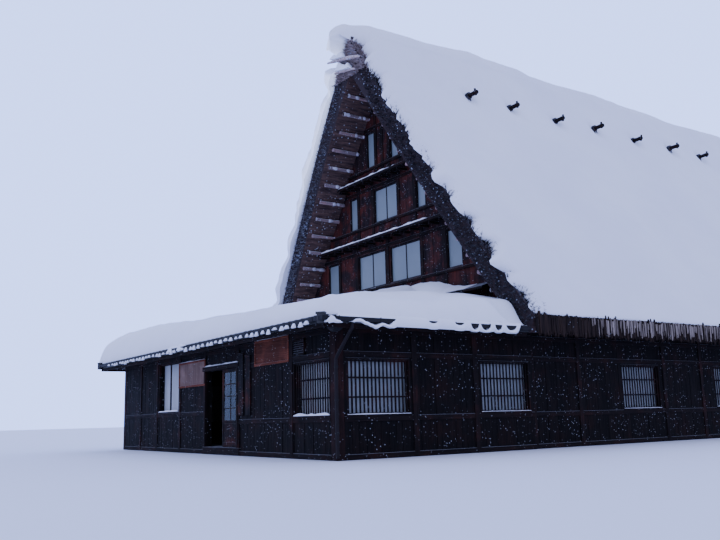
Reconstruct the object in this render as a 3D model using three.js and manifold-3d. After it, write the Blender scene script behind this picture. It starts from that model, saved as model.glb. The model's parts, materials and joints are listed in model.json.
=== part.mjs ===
// A steep thatched farmhouse with a low lean-to room across its gable, under deep snow.
// Millimetres, +X to the right of the gable, +Y back along the ridge, +Z up.
// The origin is on the ground, under the middle of the front gable wall.
import * as THREE from "three";
import { ConvexGeometry } from "three/addons/geometries/ConvexGeometry.js";
import { mergeVertices } from "three/addons/utils/BufferGeometryUtils.js";
import Module from "manifold-3d";

const wasm = await Module();
wasm.setup();

// Clearance between pieces that touch
const GAP = 0.3;

// How far cutting tools reach past what they cut, and how far joined solids reach into each other
const TOOL_REACH = 9000;
const LAP = 1;

// Main house
const HOUSE_HALF_WIDTH = 5900;
const HOUSE_LENGTH = 17450;
const WALL = 150;

// Thatched roof, as the outer line of its right slope seen from the front
const EAVE = { x: 6833, z: 3256 };
const EAVE_BOTTOM = { x: 6656, z: 2855 };
const RIDGE_Z = 13260;
const SLOPE_SAG = 68;
const THATCH = 650;
const SLOPE_STEPS = 7;
const VERGE_AT_EAVE = 634;
const VERGE_LEAN = 1449;
const VERGE_EASE = 750;
const CAP_FOOT_Z = 10750;
const CAP_STEPS = 3;
const CREST = { half: 150, fall: 40, shoulder: 160 };

// Poles pushed through the ridge thatch, and where each one stands
const POLE = { radius: 72, sides: 8, reach: 1985 };
const POLES = [
  { y: 2400, z: 11430 },
  { y: 4300, z: 11370 },
  { y: 6550, z: 11320 },
  { y: 8700, z: 11440 },
  { y: 10950, z: 11340 },
  { y: 13300, z: 11430 },
  { y: 15300, z: 11390 },
];

// Snow on the thatch
const SNOW = 300;
const SNOW_LIP = 90;
const SNOW_RIDGE_FRONT_Z = 13920;
const SNOW_RIDGE_BACK_Z = 13480;
const SNOW_HOLE = 118;
const SNOW_BED = 0.5;
const SNOW_PAST_VERGE = 60;
const SNOW_SHOULDER = { half: 420, fall: 210 };
const SNOW_STEPS = 6;

// Storeys of the gable, from the lowest up
const STOREYS = [
  { foot: 3050, head: 6640, step: 0, sill: 5090, lintel: 6260, panes: [[147, 1677], [2955, 3600]] },
  { foot: 6700, head: 8680, step: 30, sill: 7210, lintel: 8350, panes: [[-617, 617], [1646, 2070]] },
  { foot: 8740, head: 0, step: 100, sill: 9150, lintel: 10380, panes: [[454, 861]] },
];
const LEDGES = [{ z: 6640, reach: 400 }, { z: 8680, reach: 380 }];
const LEDGE_THICKNESS = 59.4;
const LEDGE_NOSE = { foot: 40, head: 10 };
const SHEET = 20;
const SHEET_LAP = 60;
const ATTIC_FLOORS = [4420, 6550, 8600];
const FLOOR = 80;
const MAIN_FLOOR = 100;

// Frame that carries the front gable over the open side of the lean-to
const FRAME = { front: -60, back: 200, sill: 450, beamFoot: 2750, beamHead: 3049, post: 260 };
const FRAME_POSTS = [-2900, 0, 2900];

// Lean-to across the gable
const ANNEX = { left: -7900, right: 6000, front: -5900 };
const OVERHANG = 700;
const ANNEX_EAVE_Z = 2970;
const ANNEX_PITCH = 0.22;
const ANNEX_ROOF = 140;
const ANNEX_SNOW = 570;
const ANNEX_SNOW_RIM = [
  { grow: 40, share: 0.55 },
  { grow: -90, share: 0.85 },
  { grow: -260, share: 1 },
];
const ANNEX_SNOW_DROP = 400;
const CORNER_POST = { in: 180, out: 30, head: 2965 };
const ANNEX_FLOOR_Z = 200;
const LATTICE = { sill: 943, lintel: 2148 };
const FRONT_WINDOWS = [
  { name: "right", from: 4215, to: 5770, sill: 943, lintel: 2148 },
  { name: "left", from: -4500, to: -2850, sill: 1200, lintel: 2700 },
];
const SIDE_WINDOWS = { right: [[-5640, -3950], [-1795, -152]], left: [[-5640, -3950], [-2195, -552]] };
const NOTCH = { x: 5450, y: -745, snowFrom: -7100, snowTo: -4900, snowY: -920 };
const RETURN_ROOF = { x: -6960, back: 150, wallHead: 2835 };

// Entrance
const DOOR = { from: -800, to: 1200, head: 2270, leaf: 1010, thickness: 40, clear: 5 };
const DOOR_TRACKS = { outer: -5885, inner: -5815 };
const STILE = 90;
const KICK_BOARD = 700;
const DOOR_GLASS_SEAT = 12;
const DOOR_SHOE_INSET = 8;
const DOOR_SILL_NOSE = 20;

// Windows of the long walls and of the back wall, as spans along the wall
const LONG_WALL_WINDOWS = [[3600, 5250], [8000, 9650], [12400, 14050]];
const BACK_WINDOWS = [[-4300, -2650], [2650, 4300]];

// Pieces on the walls
const SIGN = { from: 2270, to: 4015, foot: 2225, head: 2835, thickness: 45 };
const PANEL = { from: -2770, to: -830, foot: 1900, head: 2620, thickness: 50 };
const PENT = { from: 1300, to: 4900, reach: 560, wallZ: 4470, edgeZ: 4270, thickness: 70 };
const PENT_SNOW = { to: 3900, head: 4780, crown: 330, rim: 130, bed: 2, past: 40, clear: 20 };
const GUTTER = { width: 110, depth: 90, wall: 8, drop: 12, back: -760 };
const PIPE = {
  radius: 38, sides: 8, steps: 24, outletY: -5950, drop: 120, kneeZ: 2150, footZ: 60, stand: 62,
};

// Colours and surface of each material
const finish = (color, roughness, metalness = 0) =>
  new THREE.MeshStandardMaterial({ color, roughness, metalness });
const MATERIALS = {
  thatch: () => finish(0x3a3029, 0.95),
  snow: () => finish(0xe4eaf2, 0.8),
  boards: () => finish(0x241512, 0.75),
  beams: () => finish(0x2e1b15, 0.7),
  shoji: () => finish(0xb4c4d2, 0.6),
  tiles: () => finish(0x23262c, 0.55),
  sign: () => finish(0x5c2a20, 0.7),
  gutter: () => finish(0x1f2228, 0.45, 0.6),
  door: () => finish(0x1c1618, 0.6),
};

const root = new THREE.Group();

// Adds a geometry to the house as a named piece.
function piece(name, material, geometry) {
  const mesh = new THREE.Mesh(geometry, MATERIALS[material]());
  mesh.name = name;
  root.add(mesh);
  return mesh;
}

// A closed geometry as a solid that can be joined and cut.
function solidOf(geometry) {
  const bare = geometry.index ? geometry.toNonIndexed() : geometry.clone();
  bare.deleteAttribute("normal");
  bare.deleteAttribute("uv");
  const merged = mergeVertices(bare, 1e-3);
  return new wasm.Manifold(
    new wasm.Mesh({
      numProp: 3,
      vertProperties: merged.attributes.position.array,
      triVerts: new Uint32Array(merged.index.array),
    }),
  );
}

// A solid back as a geometry.
function geometryOf(solid) {
  const mesh = solid.getMesh();
  const geometry = new THREE.BufferGeometry();
  geometry.setAttribute("position", new THREE.BufferAttribute(new Float32Array(mesh.vertProperties), 3));
  geometry.setIndex(new THREE.BufferAttribute(new Uint32Array(mesh.triVerts), 1));
  return geometry;
}

const cut = (geometry, tools) =>
  geometryOf(tools.reduce((left, tool) => left.subtract(solidOf(tool)), solidOf(geometry)));

const join = (geometries) =>
  geometryOf(geometries.slice(1).reduce((sum, next) => sum.add(solidOf(next)), solidOf(geometries[0])));

// A block between two corners.
function block([x0, x1], [y0, y1], [z0, z1]) {
  const box = new THREE.BoxGeometry(x1 - x0, y1 - y0, z1 - z0);
  return box.translate((x0 + x1) / 2, (y0 + y1) / 2, (z0 + z1) / 2);
}

// Triangles given as corner numbers, turned to face outwards.
function closed(points, triangles) {
  let volume = 0;
  for (const [a, b, c] of triangles) volume += points[a].dot(points[b].clone().cross(points[c]));
  const faces = volume < 0 ? triangles.map(([a, b, c]) => [a, c, b]) : triangles;
  const geometry = new THREE.BufferGeometry().setFromPoints(points);
  geometry.setIndex(faces.flat());
  return geometry;
}

// Joins two rings of corners that match one to one, and closes both ends by the same pattern.
function skin(ringA, ringB, flat) {
  const count = ringA.length;
  if (THREE.ShapeUtils.isClockWise(flat)) for (const ring of [ringA, ringB, flat]) ring.reverse();
  const caps = THREE.ShapeUtils.triangulateShape(flat, []);
  const triangles = caps.map(([a, b, c]) => [a, c, b]);
  for (const [a, b, c] of caps) triangles.push([a + count, b + count, c + count]);
  for (let i = 0; i < count; i += 1) {
    const next = (i + 1) % count;
    triangles.push([i, next, i + count], [next, next + count, i + count]);
  }
  return closed([...ringA, ...ringB], triangles);
}

// A body with an outline seen from the front, whose two ends stand at the given depths.
function alongHouse(outline, front, back, backOutline = outline) {
  const at = (line, y) => line.map(([x, z]) => new THREE.Vector3(x, y(z, x), z));
  const flat = outline.map(([x, z]) => new THREE.Vector2(x, z));
  return skin(at(outline, front), at(backOutline, back), flat);
}

// A body with an outline seen from the side, from one X to another.
function acrossHouse(outline, x0, x1) {
  const at = (x) => outline.map(([y, z]) => new THREE.Vector3(x, y, z));
  return skin(at(x0), at(x1), outline.map(([y, z]) => new THREE.Vector2(y, z)));
}

// A body with an outline seen from above, between a lower and an upper surface.
function slab(outline, low, high) {
  const at = (surface) => outline.map(([x, y]) => new THREE.Vector3(x, y, surface(x, y)));
  return skin(at(low), at(high), outline.map(([x, y]) => new THREE.Vector2(x, y)));
}

const mirrored = (outline) => outline.map(([x, z]) => [-x, z]);
const constant = (value) => () => value;

// The thatch, seen from the front
const slopeShare = (z) => (z - EAVE.z) / (RIDGE_Z - EAVE.z);
const thatchX = (z) => {
  const share = slopeShare(z);
  return EAVE.x * (1 - share) - 4 * SLOPE_SAG * share * (1 - share);
};
const slopeAngle = Math.atan2(RIDGE_Z - EAVE.z, EAVE.x);
const outward = { x: Math.sin(slopeAngle), z: Math.cos(slopeAngle) };
const inside = ([x, z], depth = THATCH) => [x - outward.x * depth, z - outward.z * depth];
const soffitFoot = inside([EAVE.x, EAVE.z]);
const soffitHead = inside([thatchX(CAP_FOOT_Z), CAP_FOOT_Z]);
const soffitFall = (soffitHead[1] - soffitFoot[1]) / (soffitFoot[0] - soffitHead[0]);
const soffitX = (z) => soffitHead[0] - (z - soffitHead[1]) / soffitFall;
const soffitApex = soffitHead[1] + soffitHead[0] * soffitFall;

// How far the roof's edge stands in front of the gable at a height
const vergeReach = (z) => {
  const share = Math.min(Math.max(slopeShare(z), 0), 1);
  return VERGE_AT_EAVE + VERGE_LEAN * share - VERGE_EASE * share * share;
};
const vergeFront = (z) => -vergeReach(z);
const vergeBack = (z) => HOUSE_LENGTH + vergeReach(z);

function slopePoints(from, to, steps, lift = constant(0)) {
  return Array.from({ length: steps + 1 }, (_, i) => {
    const share = i / steps;
    const z = from + (to - from) * share;
    return inside([thatchX(z), z], -lift(share));
  });
}

function thatchOutline() {
  const outer = slopePoints(EAVE.z, CAP_FOOT_Z, SLOPE_STEPS);
  const inner = outer.map((_, i) => {
    const share = 1 - i / SLOPE_STEPS;
    return [
      soffitFoot[0] + (soffitHead[0] - soffitFoot[0]) * share,
      soffitFoot[1] + (soffitHead[1] - soffitFoot[1]) * share,
    ];
  });
  return [...outer, ...inner, [EAVE_BOTTOM.x, EAVE_BOTTOM.z]];
}

function thatchSlopes() {
  const outline = thatchOutline();
  piece("thatch_right", "thatch", alongHouse(outline, vergeFront, vergeBack));
  piece("thatch_left", "thatch", alongHouse(mirrored(outline), vergeFront, vergeBack));
}

// The ridge cap closes both slopes, and its poles run right through it.
function ridgeCap() {
  const foot = CAP_FOOT_Z + GAP;
  const side = slopePoints(foot, RIDGE_Z - CREST.shoulder, CAP_STEPS);
  const inner = [soffitHead[0], soffitHead[1] + GAP];
  const top = [[CREST.half, RIDGE_Z - CREST.fall], [0, RIDGE_Z], [-CREST.half, RIDGE_Z - CREST.fall]];
  const under = [[-inner[0], inner[1]], [0, soffitApex + GAP], inner];
  const outline = [...side, ...top, ...mirrored(side).reverse(), ...under];
  const cap = alongHouse(outline, vergeFront, vergeBack);
  const poles = POLES.map(({ y, z }) => {
    const pole = new THREE.CylinderGeometry(POLE.radius, POLE.radius, 2 * POLE.reach, POLE.sides);
    return pole.rotateZ(Math.PI / 2).translate(0, y, z);
  });
  piece("ridge_cap", "thatch", join([cap, ...poles]));
}

// Snow on one slope, deeper along the ridge, with a hole round each pole.
function snowOutline(ridgeZ) {
  const bed = constant(SNOW_BED);
  const shoulderZ = RIDGE_Z - CREST.shoulder;
  const under = [
    ...slopePoints(EAVE.z, CAP_FOOT_Z, SLOPE_STEPS, bed),
    ...slopePoints(CAP_FOOT_Z, shoulderZ, CAP_STEPS, bed).slice(1),
  ];
  const over = slopePoints(EAVE.z, shoulderZ, SNOW_STEPS, (share) => (share === 0 ? SNOW_LIP : SNOW));
  const crest = [[CREST.half + LAP, RIDGE_Z - CREST.fall + LAP], [GAP, RIDGE_Z + LAP]];
  const ridge = [[GAP, ridgeZ], [SNOW_SHOULDER.half, ridgeZ - SNOW_SHOULDER.fall]];
  return [...under, ...crest, ...ridge, ...over.slice(0, SNOW_STEPS).reverse()];
}

function roofSnow() {
  const front = (z) => vergeFront(z) - SNOW_PAST_VERGE;
  const back = (z) => vergeBack(z) + SNOW_PAST_VERGE;
  const holes = POLES.map(({ y, z }) => {
    const hole = new THREE.CylinderGeometry(SNOW_HOLE, SNOW_HOLE, 4 * POLE.reach, POLE.sides);
    return hole.rotateZ(Math.PI / 2).translate(0, y, z);
  });
  const near = snowOutline(SNOW_RIDGE_FRONT_Z);
  const far = snowOutline(SNOW_RIDGE_BACK_Z);
  piece("roof_snow_right", "snow", cut(alongHouse(near, front, back, far), holes));
  piece("roof_snow_left", "snow", cut(alongHouse(mirrored(near), front, back, mirrored(far)), holes));
}

// Both signs of a window span, or the span alone if it already crosses the middle.
const bothSides = ([from, to]) => (from < 0 ? [[from, to]] : [[from, to], [-to, -from]]);

// Outline of the gable between two heights, held in by the thatch and by the long walls.
function gableOutline(foot, head) {
  const widest = HOUSE_HALF_WIDTH - WALL - GAP;
  const half = (z) => soffitX(z) - 2 * GAP;
  const right = [];
  if (half(foot) > widest) {
    right.push([widest, foot], [widest, soffitHead[1] - (widest + 2 * GAP - soffitHead[0]) * soffitFall]);
  } else {
    right.push([half(foot), foot]);
  }
  if (head) right.push([half(head), head]);
  else right.push([0, soffitApex - 2 * GAP]);
  const left = mirrored(right).reverse();
  return head ? [...right, ...left] : [...right, ...left.slice(1)];
}

function gableStorey(end, side, level) {
  const { foot, head, step, sill, lintel, panes } = STOREYS[level];
  const face = end === "front" ? -step : HOUSE_LENGTH + step;
  const inner = face - side * WALL;
  const wall = alongHouse(gableOutline(foot, head), constant(face), constant(inner));
  const holes = panes
    .flatMap(bothSides)
    .map((span) => block(span, [Math.min(face, inner) - LAP, Math.max(face, inner) + LAP], [sill, lintel]));
  piece(`gable_wall_${end}_${level + 1}`, "boards", cut(wall, holes));
  const near = inner - side * GAP;
  const widest = Math.max(...panes.flat()) + SHEET_LAP;
  const half = Math.min(widest, soffitX(lintel + SHEET_LAP) - 2 * GAP);
  const depth = [near, near - side * SHEET].sort((a, b) => a - b);
  const rise = [sill - SHEET_LAP, lintel + SHEET_LAP];
  piece(`gable_shoji_${end}_${level + 1}`, "shoji", block([-half, half], depth, rise));
}

// A sloping board ledge between two storeys, let in over the wall below.
function gableLedge(end, side, level) {
  const { z, reach } = LEDGES[level];
  const face = end === "front" ? 0 : HOUSE_LENGTH;
  const foot = z + GAP;
  const outer = face + side * (reach + STOREYS[level + 1].step);
  const inner = face - side * WALL;
  const half = soffitX(foot + LEDGE_THICKNESS) - 2 * GAP;
  const outline = [
    [inner, foot],
    [face + side * STOREYS[level].step, foot],
    [outer, foot - LEDGE_NOSE.foot],
    [outer, foot - LEDGE_NOSE.head],
    [face + side * STOREYS[level + 1].step, foot + LEDGE_THICKNESS],
    [inner, foot + LEDGE_THICKNESS],
  ];
  piece(`ledge_${end}_${level + 1}`, "beams", acrossHouse(outline, -half, half));
}

function gables() {
  for (const [end, side] of [["front", -1], ["back", 1]]) {
    STOREYS.forEach((_, level) => gableStorey(end, side, level));
    LEDGES.forEach((_, level) => gableLedge(end, side, level));
  }
}

// Sill, posts and beam under the front gable, joined as one frame.
function gableFrame() {
  const half = HOUSE_HALF_WIDTH - WALL - GAP;
  const depth = [FRAME.front, FRAME.back];
  const ends = [[-half, -half + FRAME.post], [half - FRAME.post, half]];
  const spans = [...ends, ...FRAME_POSTS.map((x) => [x - FRAME.post / 2, x + FRAME.post / 2])];
  const posts = spans.map((span) => block(span, depth, [FRAME.sill - LAP, FRAME.beamFoot + LAP]));
  const sill = block([-half, half], depth, [0, FRAME.sill]);
  const beam = block([-half, half], depth, [FRAME.beamFoot, FRAME.beamHead]);
  piece("gable_frame", "beams", join([sill, ...posts, beam]));
}

// Long walls, with their heads bevelled to the thatch that rests on them.
function longWalls() {
  const outer = HOUSE_HALF_WIDTH;
  const inner = outer - WALL;
  const under = (x) => soffitHead[1] - (x - soffitHead[0]) * soffitFall - 2 * GAP;
  const outline = [[inner, 0], [outer, 0], [outer, under(outer)], [inner, under(inner)]];
  for (const [name, side] of [["right", 1], ["left", -1]]) {
    const line = side > 0 ? outline : mirrored(outline);
    const wall = alongHouse(line, constant(0), constant(HOUSE_LENGTH));
    const across = [side * (inner - LAP), side * (outer + LAP)].sort((a, b) => a - b);
    const holes = LONG_WALL_WINDOWS.map((span) => block(across, span, [LATTICE.sill, LATTICE.lintel]));
    piece(`long_wall_${name}`, "boards", cut(wall, holes));
    const near = inner - GAP;
    const depth = [side * (near - SHEET), side * near].sort((a, b) => a - b);
    const run = [LONG_WALL_WINDOWS[0][0] - SHEET_LAP, LONG_WALL_WINDOWS.at(-1)[1] + SHEET_LAP];
    const rise = [LATTICE.sill - SHEET_LAP, LATTICE.lintel + SHEET_LAP];
    piece(`long_wall_shoji_${name}`, "shoji", block(depth, run, rise));
  }
}

function backWall() {
  const half = HOUSE_HALF_WIDTH - WALL - GAP;
  const depth = [HOUSE_LENGTH - WALL, HOUSE_LENGTH];
  const wall = block([-half, half], depth, [0, STOREYS[0].foot - GAP]);
  const cutDepth = [depth[0] - LAP, depth[1] + LAP];
  const holes = BACK_WINDOWS.map((span) => block(span, cutDepth, [LATTICE.sill, LATTICE.lintel]));
  piece("back_wall", "boards", cut(wall, holes));
  const near = depth[0] - GAP;
  const reach = BACK_WINDOWS.at(-1)[1] + SHEET_LAP;
  const rise = [LATTICE.sill - SHEET_LAP, LATTICE.lintel + SHEET_LAP];
  piece("back_wall_shoji", "shoji", block([-reach, reach], [near - SHEET, near], rise));
}

function floors() {
  const half = HOUSE_HALF_WIDTH - WALL - GAP;
  const run = [FRAME.back + GAP, HOUSE_LENGTH - WALL - GAP];
  piece("main_floor", "beams", block([-half, half], run, [FRAME.sill - MAIN_FLOOR, FRAME.sill]));
  ATTIC_FLOORS.forEach((foot, level) => {
    const edge = (z) => soffitX(z) - 2 * GAP;
    const right = [[edge(foot), foot], [edge(foot + FLOOR), foot + FLOOR]];
    const outline = [...right, ...mirrored(right).reverse()];
    const storey = level < 2 ? STOREYS[0] : STOREYS[1];
    const front = WALL - storey.step + GAP;
    const floor = alongHouse(outline, constant(front), constant(HOUSE_LENGTH - front));
    piece(`attic_floor_${level + 1}`, "beams", floor);
  });
}

// The lean-to's roof: how far a place lies in from the nearest eave, and the surface over it
const eaveLeft = ANNEX.left - OVERHANG;
const eaveRight = ANNEX.right + OVERHANG;
const eaveFront = ANNEX.front - OVERHANG;
const annexTop = (run) => ANNEX_EAVE_Z + ANNEX_PITCH * run;
const annexUnder = (run) => annexTop(run) - ANNEX_ROOF;
const roofDepth = -eaveFront - GAP;

function annexRoof() {
  const g = GAP;
  const back = -GAP;
  const front = [
    [eaveLeft + 2 * g, eaveFront],
    [eaveRight - 2 * g, eaveFront],
    [eaveRight - 2 * g - roofDepth, back],
    [eaveLeft + 2 * g + roofDepth, back],
  ];
  const right = [
    [eaveRight, eaveFront + g],
    [eaveRight, NOTCH.y],
    [NOTCH.x, NOTCH.y],
    [NOTCH.x, back],
    [eaveRight - roofDepth + g, back],
  ];
  const left = [
    [eaveLeft, eaveFront + g],
    [eaveLeft + roofDepth - g, back],
    [-NOTCH.x, back],
    [-NOTCH.x, NOTCH.y],
    [RETURN_ROOF.x, NOTCH.y],
    [RETURN_ROOF.x, RETURN_ROOF.back],
    [eaveLeft, RETURN_ROOF.back],
  ];
  const planes = [
    ["annex_roof_front", front, (x, y) => y - eaveFront],
    ["annex_roof_right", right, (x) => eaveRight - x],
    ["annex_roof_left", left, (x) => x - eaveLeft],
  ];
  for (const [name, outline, run] of planes) {
    piece(name, "tiles", slab(outline, (x, y) => annexUnder(run(x, y)), (x, y) => annexTop(run(x, y))));
  }
}

// A hipped body over the lean-to, from a flat base up to the roof's surface raised by a lift.
function hippedBody(grow, lift, base, back) {
  const run = back - (eaveFront - grow);
  const head = annexTop(run - grow) + lift;
  const foot = annexTop(-grow) + lift;
  const [x0, x1] = [eaveLeft - grow, eaveRight + grow];
  const corners = [eaveFront - grow, back].flatMap((y) => [x0, x1].map((x) => [x, y]));
  const ring = (z) => corners.map(([x, y]) => new THREE.Vector3(x, y, z));
  const ridge = [x0 + run, x1 - run].map((x) => new THREE.Vector3(x, back, head));
  return new ConvexGeometry([...ring(base), ...ring(foot), ...ridge]);
}

// One blanket of snow over the lean-to, rounded at its rim.
function annexSnow() {
  const under = hippedBody(ANNEX_SNOW_DROP, SNOW_BED, 0, ANNEX_SNOW_DROP);
  const back = -2 * GAP;
  const rims = ANNEX_SNOW_RIM.map(({ grow, share }) => {
    const run = back - (eaveFront - grow);
    const lift = ANNEX_SNOW * share;
    const [x0, x1, z] = [eaveLeft - grow, eaveRight + grow, annexTop(-grow) + lift];
    const head = annexTop(run - grow) + lift;
    return [
      new THREE.Vector3(x0, eaveFront - grow, z),
      new THREE.Vector3(x1, eaveFront - grow, z),
      new THREE.Vector3(x0, back, z),
      new THREE.Vector3(x1, back, z),
      new THREE.Vector3(x0 + run, back, head),
      new THREE.Vector3(x1 - run, back, head),
    ];
  });
  const low = rims[0].slice(0, 4).map((p) => new THREE.Vector3(p.x, p.y, ANNEX_EAVE_Z - ANNEX_SNOW_DROP));
  const whole = new ConvexGeometry([...rims.flat(), ...low]);
  const corners = [
    block([NOTCH.x, TOOL_REACH], [NOTCH.y, LAP], [0, TOOL_REACH]),
    block([NOTCH.snowFrom, NOTCH.snowTo], [NOTCH.snowY, LAP], [0, TOOL_REACH]),
    block(
      [PENT.from - PENT_SNOW.clear, PENT.to + PENT_SNOW.clear],
      [-PENT.reach - PENT_SNOW.past - PENT_SNOW.clear, LAP],
      [PENT.edgeZ - PENT.thickness - PENT_SNOW.clear, TOOL_REACH],
    ),
  ];
  piece("annex_snow", "snow", cut(whole, [under, ...corners]));
}

// Spans that a lean-to wall keeps solid, cut by its windows.
function annexWalls() {
  const face = ANNEX.front;
  const inner = face + WALL;
  const head = (run) => annexUnder(run) - 2 * GAP;
  const frontLine = [[face, 0], [inner, 0], [inner, head(OVERHANG + WALL)], [face, head(OVERHANG)]];
  const right = ANNEX.right - CORNER_POST.in - GAP;
  const left = ANNEX.left + CORNER_POST.in + GAP;
  const parts = [
    ["annex_wall_front_right", DOOR.to, right],
    ["annex_wall_front_left", left, DOOR.from],
  ];
  for (const [name, from, to] of parts) {
    const holes = FRONT_WINDOWS.filter((w) => w.from > from && w.to < to);
    const tools = holes.map((w) => block([w.from, w.to], [face - LAP, inner + LAP], [w.sill, w.lintel]));
    piece(name, "boards", cut(acrossHouse(frontLine, from, to), tools));
  }
  for (const w of FRONT_WINDOWS) {
    const span = [w.from - SHEET_LAP, Math.min(w.to + SHEET_LAP, right)];
    const rise = [w.sill - SHEET_LAP, w.lintel + SHEET_LAP];
    piece(`annex_shoji_front_${w.name}`, "shoji", block(span, [inner + GAP, inner + GAP + SHEET], rise));
  }
  const door = [DOOR.from + GAP, DOOR.to - GAP];
  const overLine = [[face, DOOR.head], [inner, DOOR.head], frontLine[2], frontLine[3]];
  piece("annex_wall_over_door", "boards", acrossHouse(overLine, ...door));
  piece("door_sill", "beams", block(door, [face - DOOR_SILL_NOSE, inner], [0, ANNEX_FLOOR_Z]));
  for (const [name, side, wallX] of [["right", 1, ANNEX.right], ["left", -1, -ANNEX.left]]) {
    const outline = [
      [wallX - WALL, 0],
      [wallX, 0],
      [wallX, head(OVERHANG)],
      [wallX - WALL, head(OVERHANG + WALL)],
    ];
    const line = side > 0 ? outline : mirrored(outline);
    const from = constant(face + CORNER_POST.in + GAP);
    const wall = alongHouse(line, from, constant(-GAP));
    const across = [side * (wallX - WALL - LAP), side * (wallX + LAP)].sort((a, b) => a - b);
    const windows = SIDE_WINDOWS[name];
    const holes = windows.map((span) => block(across, span, [LATTICE.sill, LATTICE.lintel]));
    piece(`annex_wall_${name}`, "boards", cut(wall, holes));
    const near = wallX - WALL - GAP;
    const depth = [side * (near - SHEET), side * near].sort((a, b) => a - b);
    const run = [windows[0][0] - SHEET_LAP, windows.at(-1)[1] + SHEET_LAP];
    const rise = [LATTICE.sill - SHEET_LAP, LATTICE.lintel + SHEET_LAP];
    piece(`annex_shoji_${name}`, "shoji", block(depth, run, rise));
  }
}

function cornerPosts() {
  const y = [ANNEX.front - CORNER_POST.out, ANNEX.front + CORNER_POST.in];
  const z = [0, CORNER_POST.head];
  const right = [ANNEX.right - CORNER_POST.in, ANNEX.right + CORNER_POST.out];
  const left = [ANNEX.left - CORNER_POST.out, ANNEX.left + CORNER_POST.in];
  piece("corner_post_right", "beams", block(right, y, z));
  piece("corner_post_left", "beams", block(left, y, z));
}

// The lean-to's end behind its left part, beside the main house.
function annexReturn() {
  const from = ANNEX.left + WALL + GAP;
  const to = -HOUSE_HALF_WIDTH - GAP;
  const head = (x) => annexUnder(x - eaveLeft) - 2 * GAP;
  const { x, wallHead } = RETURN_ROOF;
  const outline = [[from, 0], [to, 0], [to, wallHead], [x, wallHead], [x, head(x)], [from, head(from)]];
  piece("annex_wall_return", "boards", alongHouse(outline, constant(-GAP - WALL), constant(-GAP)));
}

function annexFloor() {
  const x = [ANNEX.left + WALL + GAP, ANNEX.right - WALL - GAP];
  const y = [ANNEX.front + WALL + GAP, -WALL - 2 * GAP];
  const slabBox = block(x, y, [ANNEX_FLOOR_Z - FLOOR, ANNEX_FLOOR_Z]);
  const reach = CORNER_POST.in + GAP;
  const notches = [[ANNEX.right - reach, ANNEX.right], [ANNEX.left, ANNEX.left + reach]].map((span) =>
    block(span, [ANNEX.front, ANNEX.front + reach], [0, TOOL_REACH]),
  );
  piece("annex_floor", "beams", cut(slabBox, notches));
}

// A door leaf with a glazed upper part over a board, on two shoes that run in the sill.
function doorLeaf(name, x0, track) {
  const foot = ANNEX_FLOOR_Z + DOOR.clear;
  const head = DOOR.head - DOOR.clear;
  const y = [track, track + DOOR.thickness];
  const x1 = x0 + DOOR.leaf;
  const frame = block([x0, x1], y, [foot, head]);
  const pane = [track + DOOR_GLASS_SEAT, track + DOOR.thickness - DOOR_GLASS_SEAT];
  const light = [x0 + STILE, x1 - STILE];
  const rise = [foot + KICK_BOARD, head - STILE];
  const recesses = [block(light, [y[0] - LAP, pane[0]], rise), block(light, [pane[1], y[1] + LAP], rise)];
  const shoe = [y[0] + DOOR_SHOE_INSET, y[1] - DOOR_SHOE_INSET];
  const shoes = [x0 + STILE, x1 - 2 * STILE].flatMap((x) => [
    block([x, x + STILE], shoe, [ANNEX_FLOOR_Z + GAP, foot + LAP]),
    block([x, x + STILE], shoe, [head - LAP, DOOR.head - GAP]),
  ]);
  piece(name, "door", join([cut(frame, recesses), ...shoes]));
}

function entrance() {
  const right = DOOR.to - DOOR.leaf - 2 * DOOR.clear;
  doorLeaf("entrance_leaf_fixed", right + DOOR.clear, DOOR_TRACKS.outer);
  doorLeaf("entrance_leaf_sliding", right, DOOR_TRACKS.inner);
}

function signs() {
  const y = (thickness) => [ANNEX.front - GAP - thickness, ANNEX.front - GAP];
  piece("sign_board", "sign", block([SIGN.from, SIGN.to], y(SIGN.thickness), [SIGN.foot, SIGN.head]));
  piece("wall_panel", "sign", block([PANEL.from, PANEL.to], y(PANEL.thickness), [PANEL.foot, PANEL.head]));
}

// A small board roof at the foot of the gable, and the snow on it.
function pentRoof() {
  const { reach, wallZ, edgeZ, thickness, from, to } = PENT;
  const outline = [[-GAP, wallZ - thickness], [-GAP, wallZ], [-reach, edgeZ], [-reach, edgeZ - thickness]];
  piece("pent_roof", "beams", acrossHouse(outline, from, to));
  const snow = [
    [-GAP, wallZ + PENT_SNOW.bed],
    [-GAP, PENT_SNOW.head],
    [-reach / 2, edgeZ + PENT_SNOW.crown],
    [-reach - PENT_SNOW.past, edgeZ + PENT_SNOW.rim],
    [-reach - PENT_SNOW.past, edgeZ + PENT_SNOW.bed],
    [-reach, edgeZ + PENT_SNOW.bed],
  ];
  piece("pent_snow", "snow", acrossHouse(snow, from, PENT_SNOW.to));
}

// Gutter along the front and right eaves, with the pipe that leaves it at the near corner.
function gutterRun() {
  const top = ANNEX_EAVE_Z - GUTTER.drop;
  const foot = top - GUTTER.depth;
  const { width, wall } = GUTTER;
  const outer = [
    block([eaveLeft, eaveRight + GAP + width], [eaveFront - GAP - width, eaveFront - GAP], [foot, top]),
    block([eaveRight + GAP, eaveRight + GAP + width], [eaveFront - GAP - LAP, GUTTER.back], [foot, top]),
  ];
  const channel = [
    block(
      [eaveLeft + wall, eaveRight + GAP + width - wall],
      [eaveFront - GAP - width + wall, eaveFront - GAP - wall],
      [foot + wall, top + LAP],
    ),
    block(
      [eaveRight + GAP + wall, eaveRight + GAP + width - wall],
      [eaveFront - GAP - width + wall, GUTTER.back - wall],
      [foot + wall, top + LAP],
    ),
  ];
  piece("gutter", "gutter", cut(join(outer), channel));
}

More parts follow.
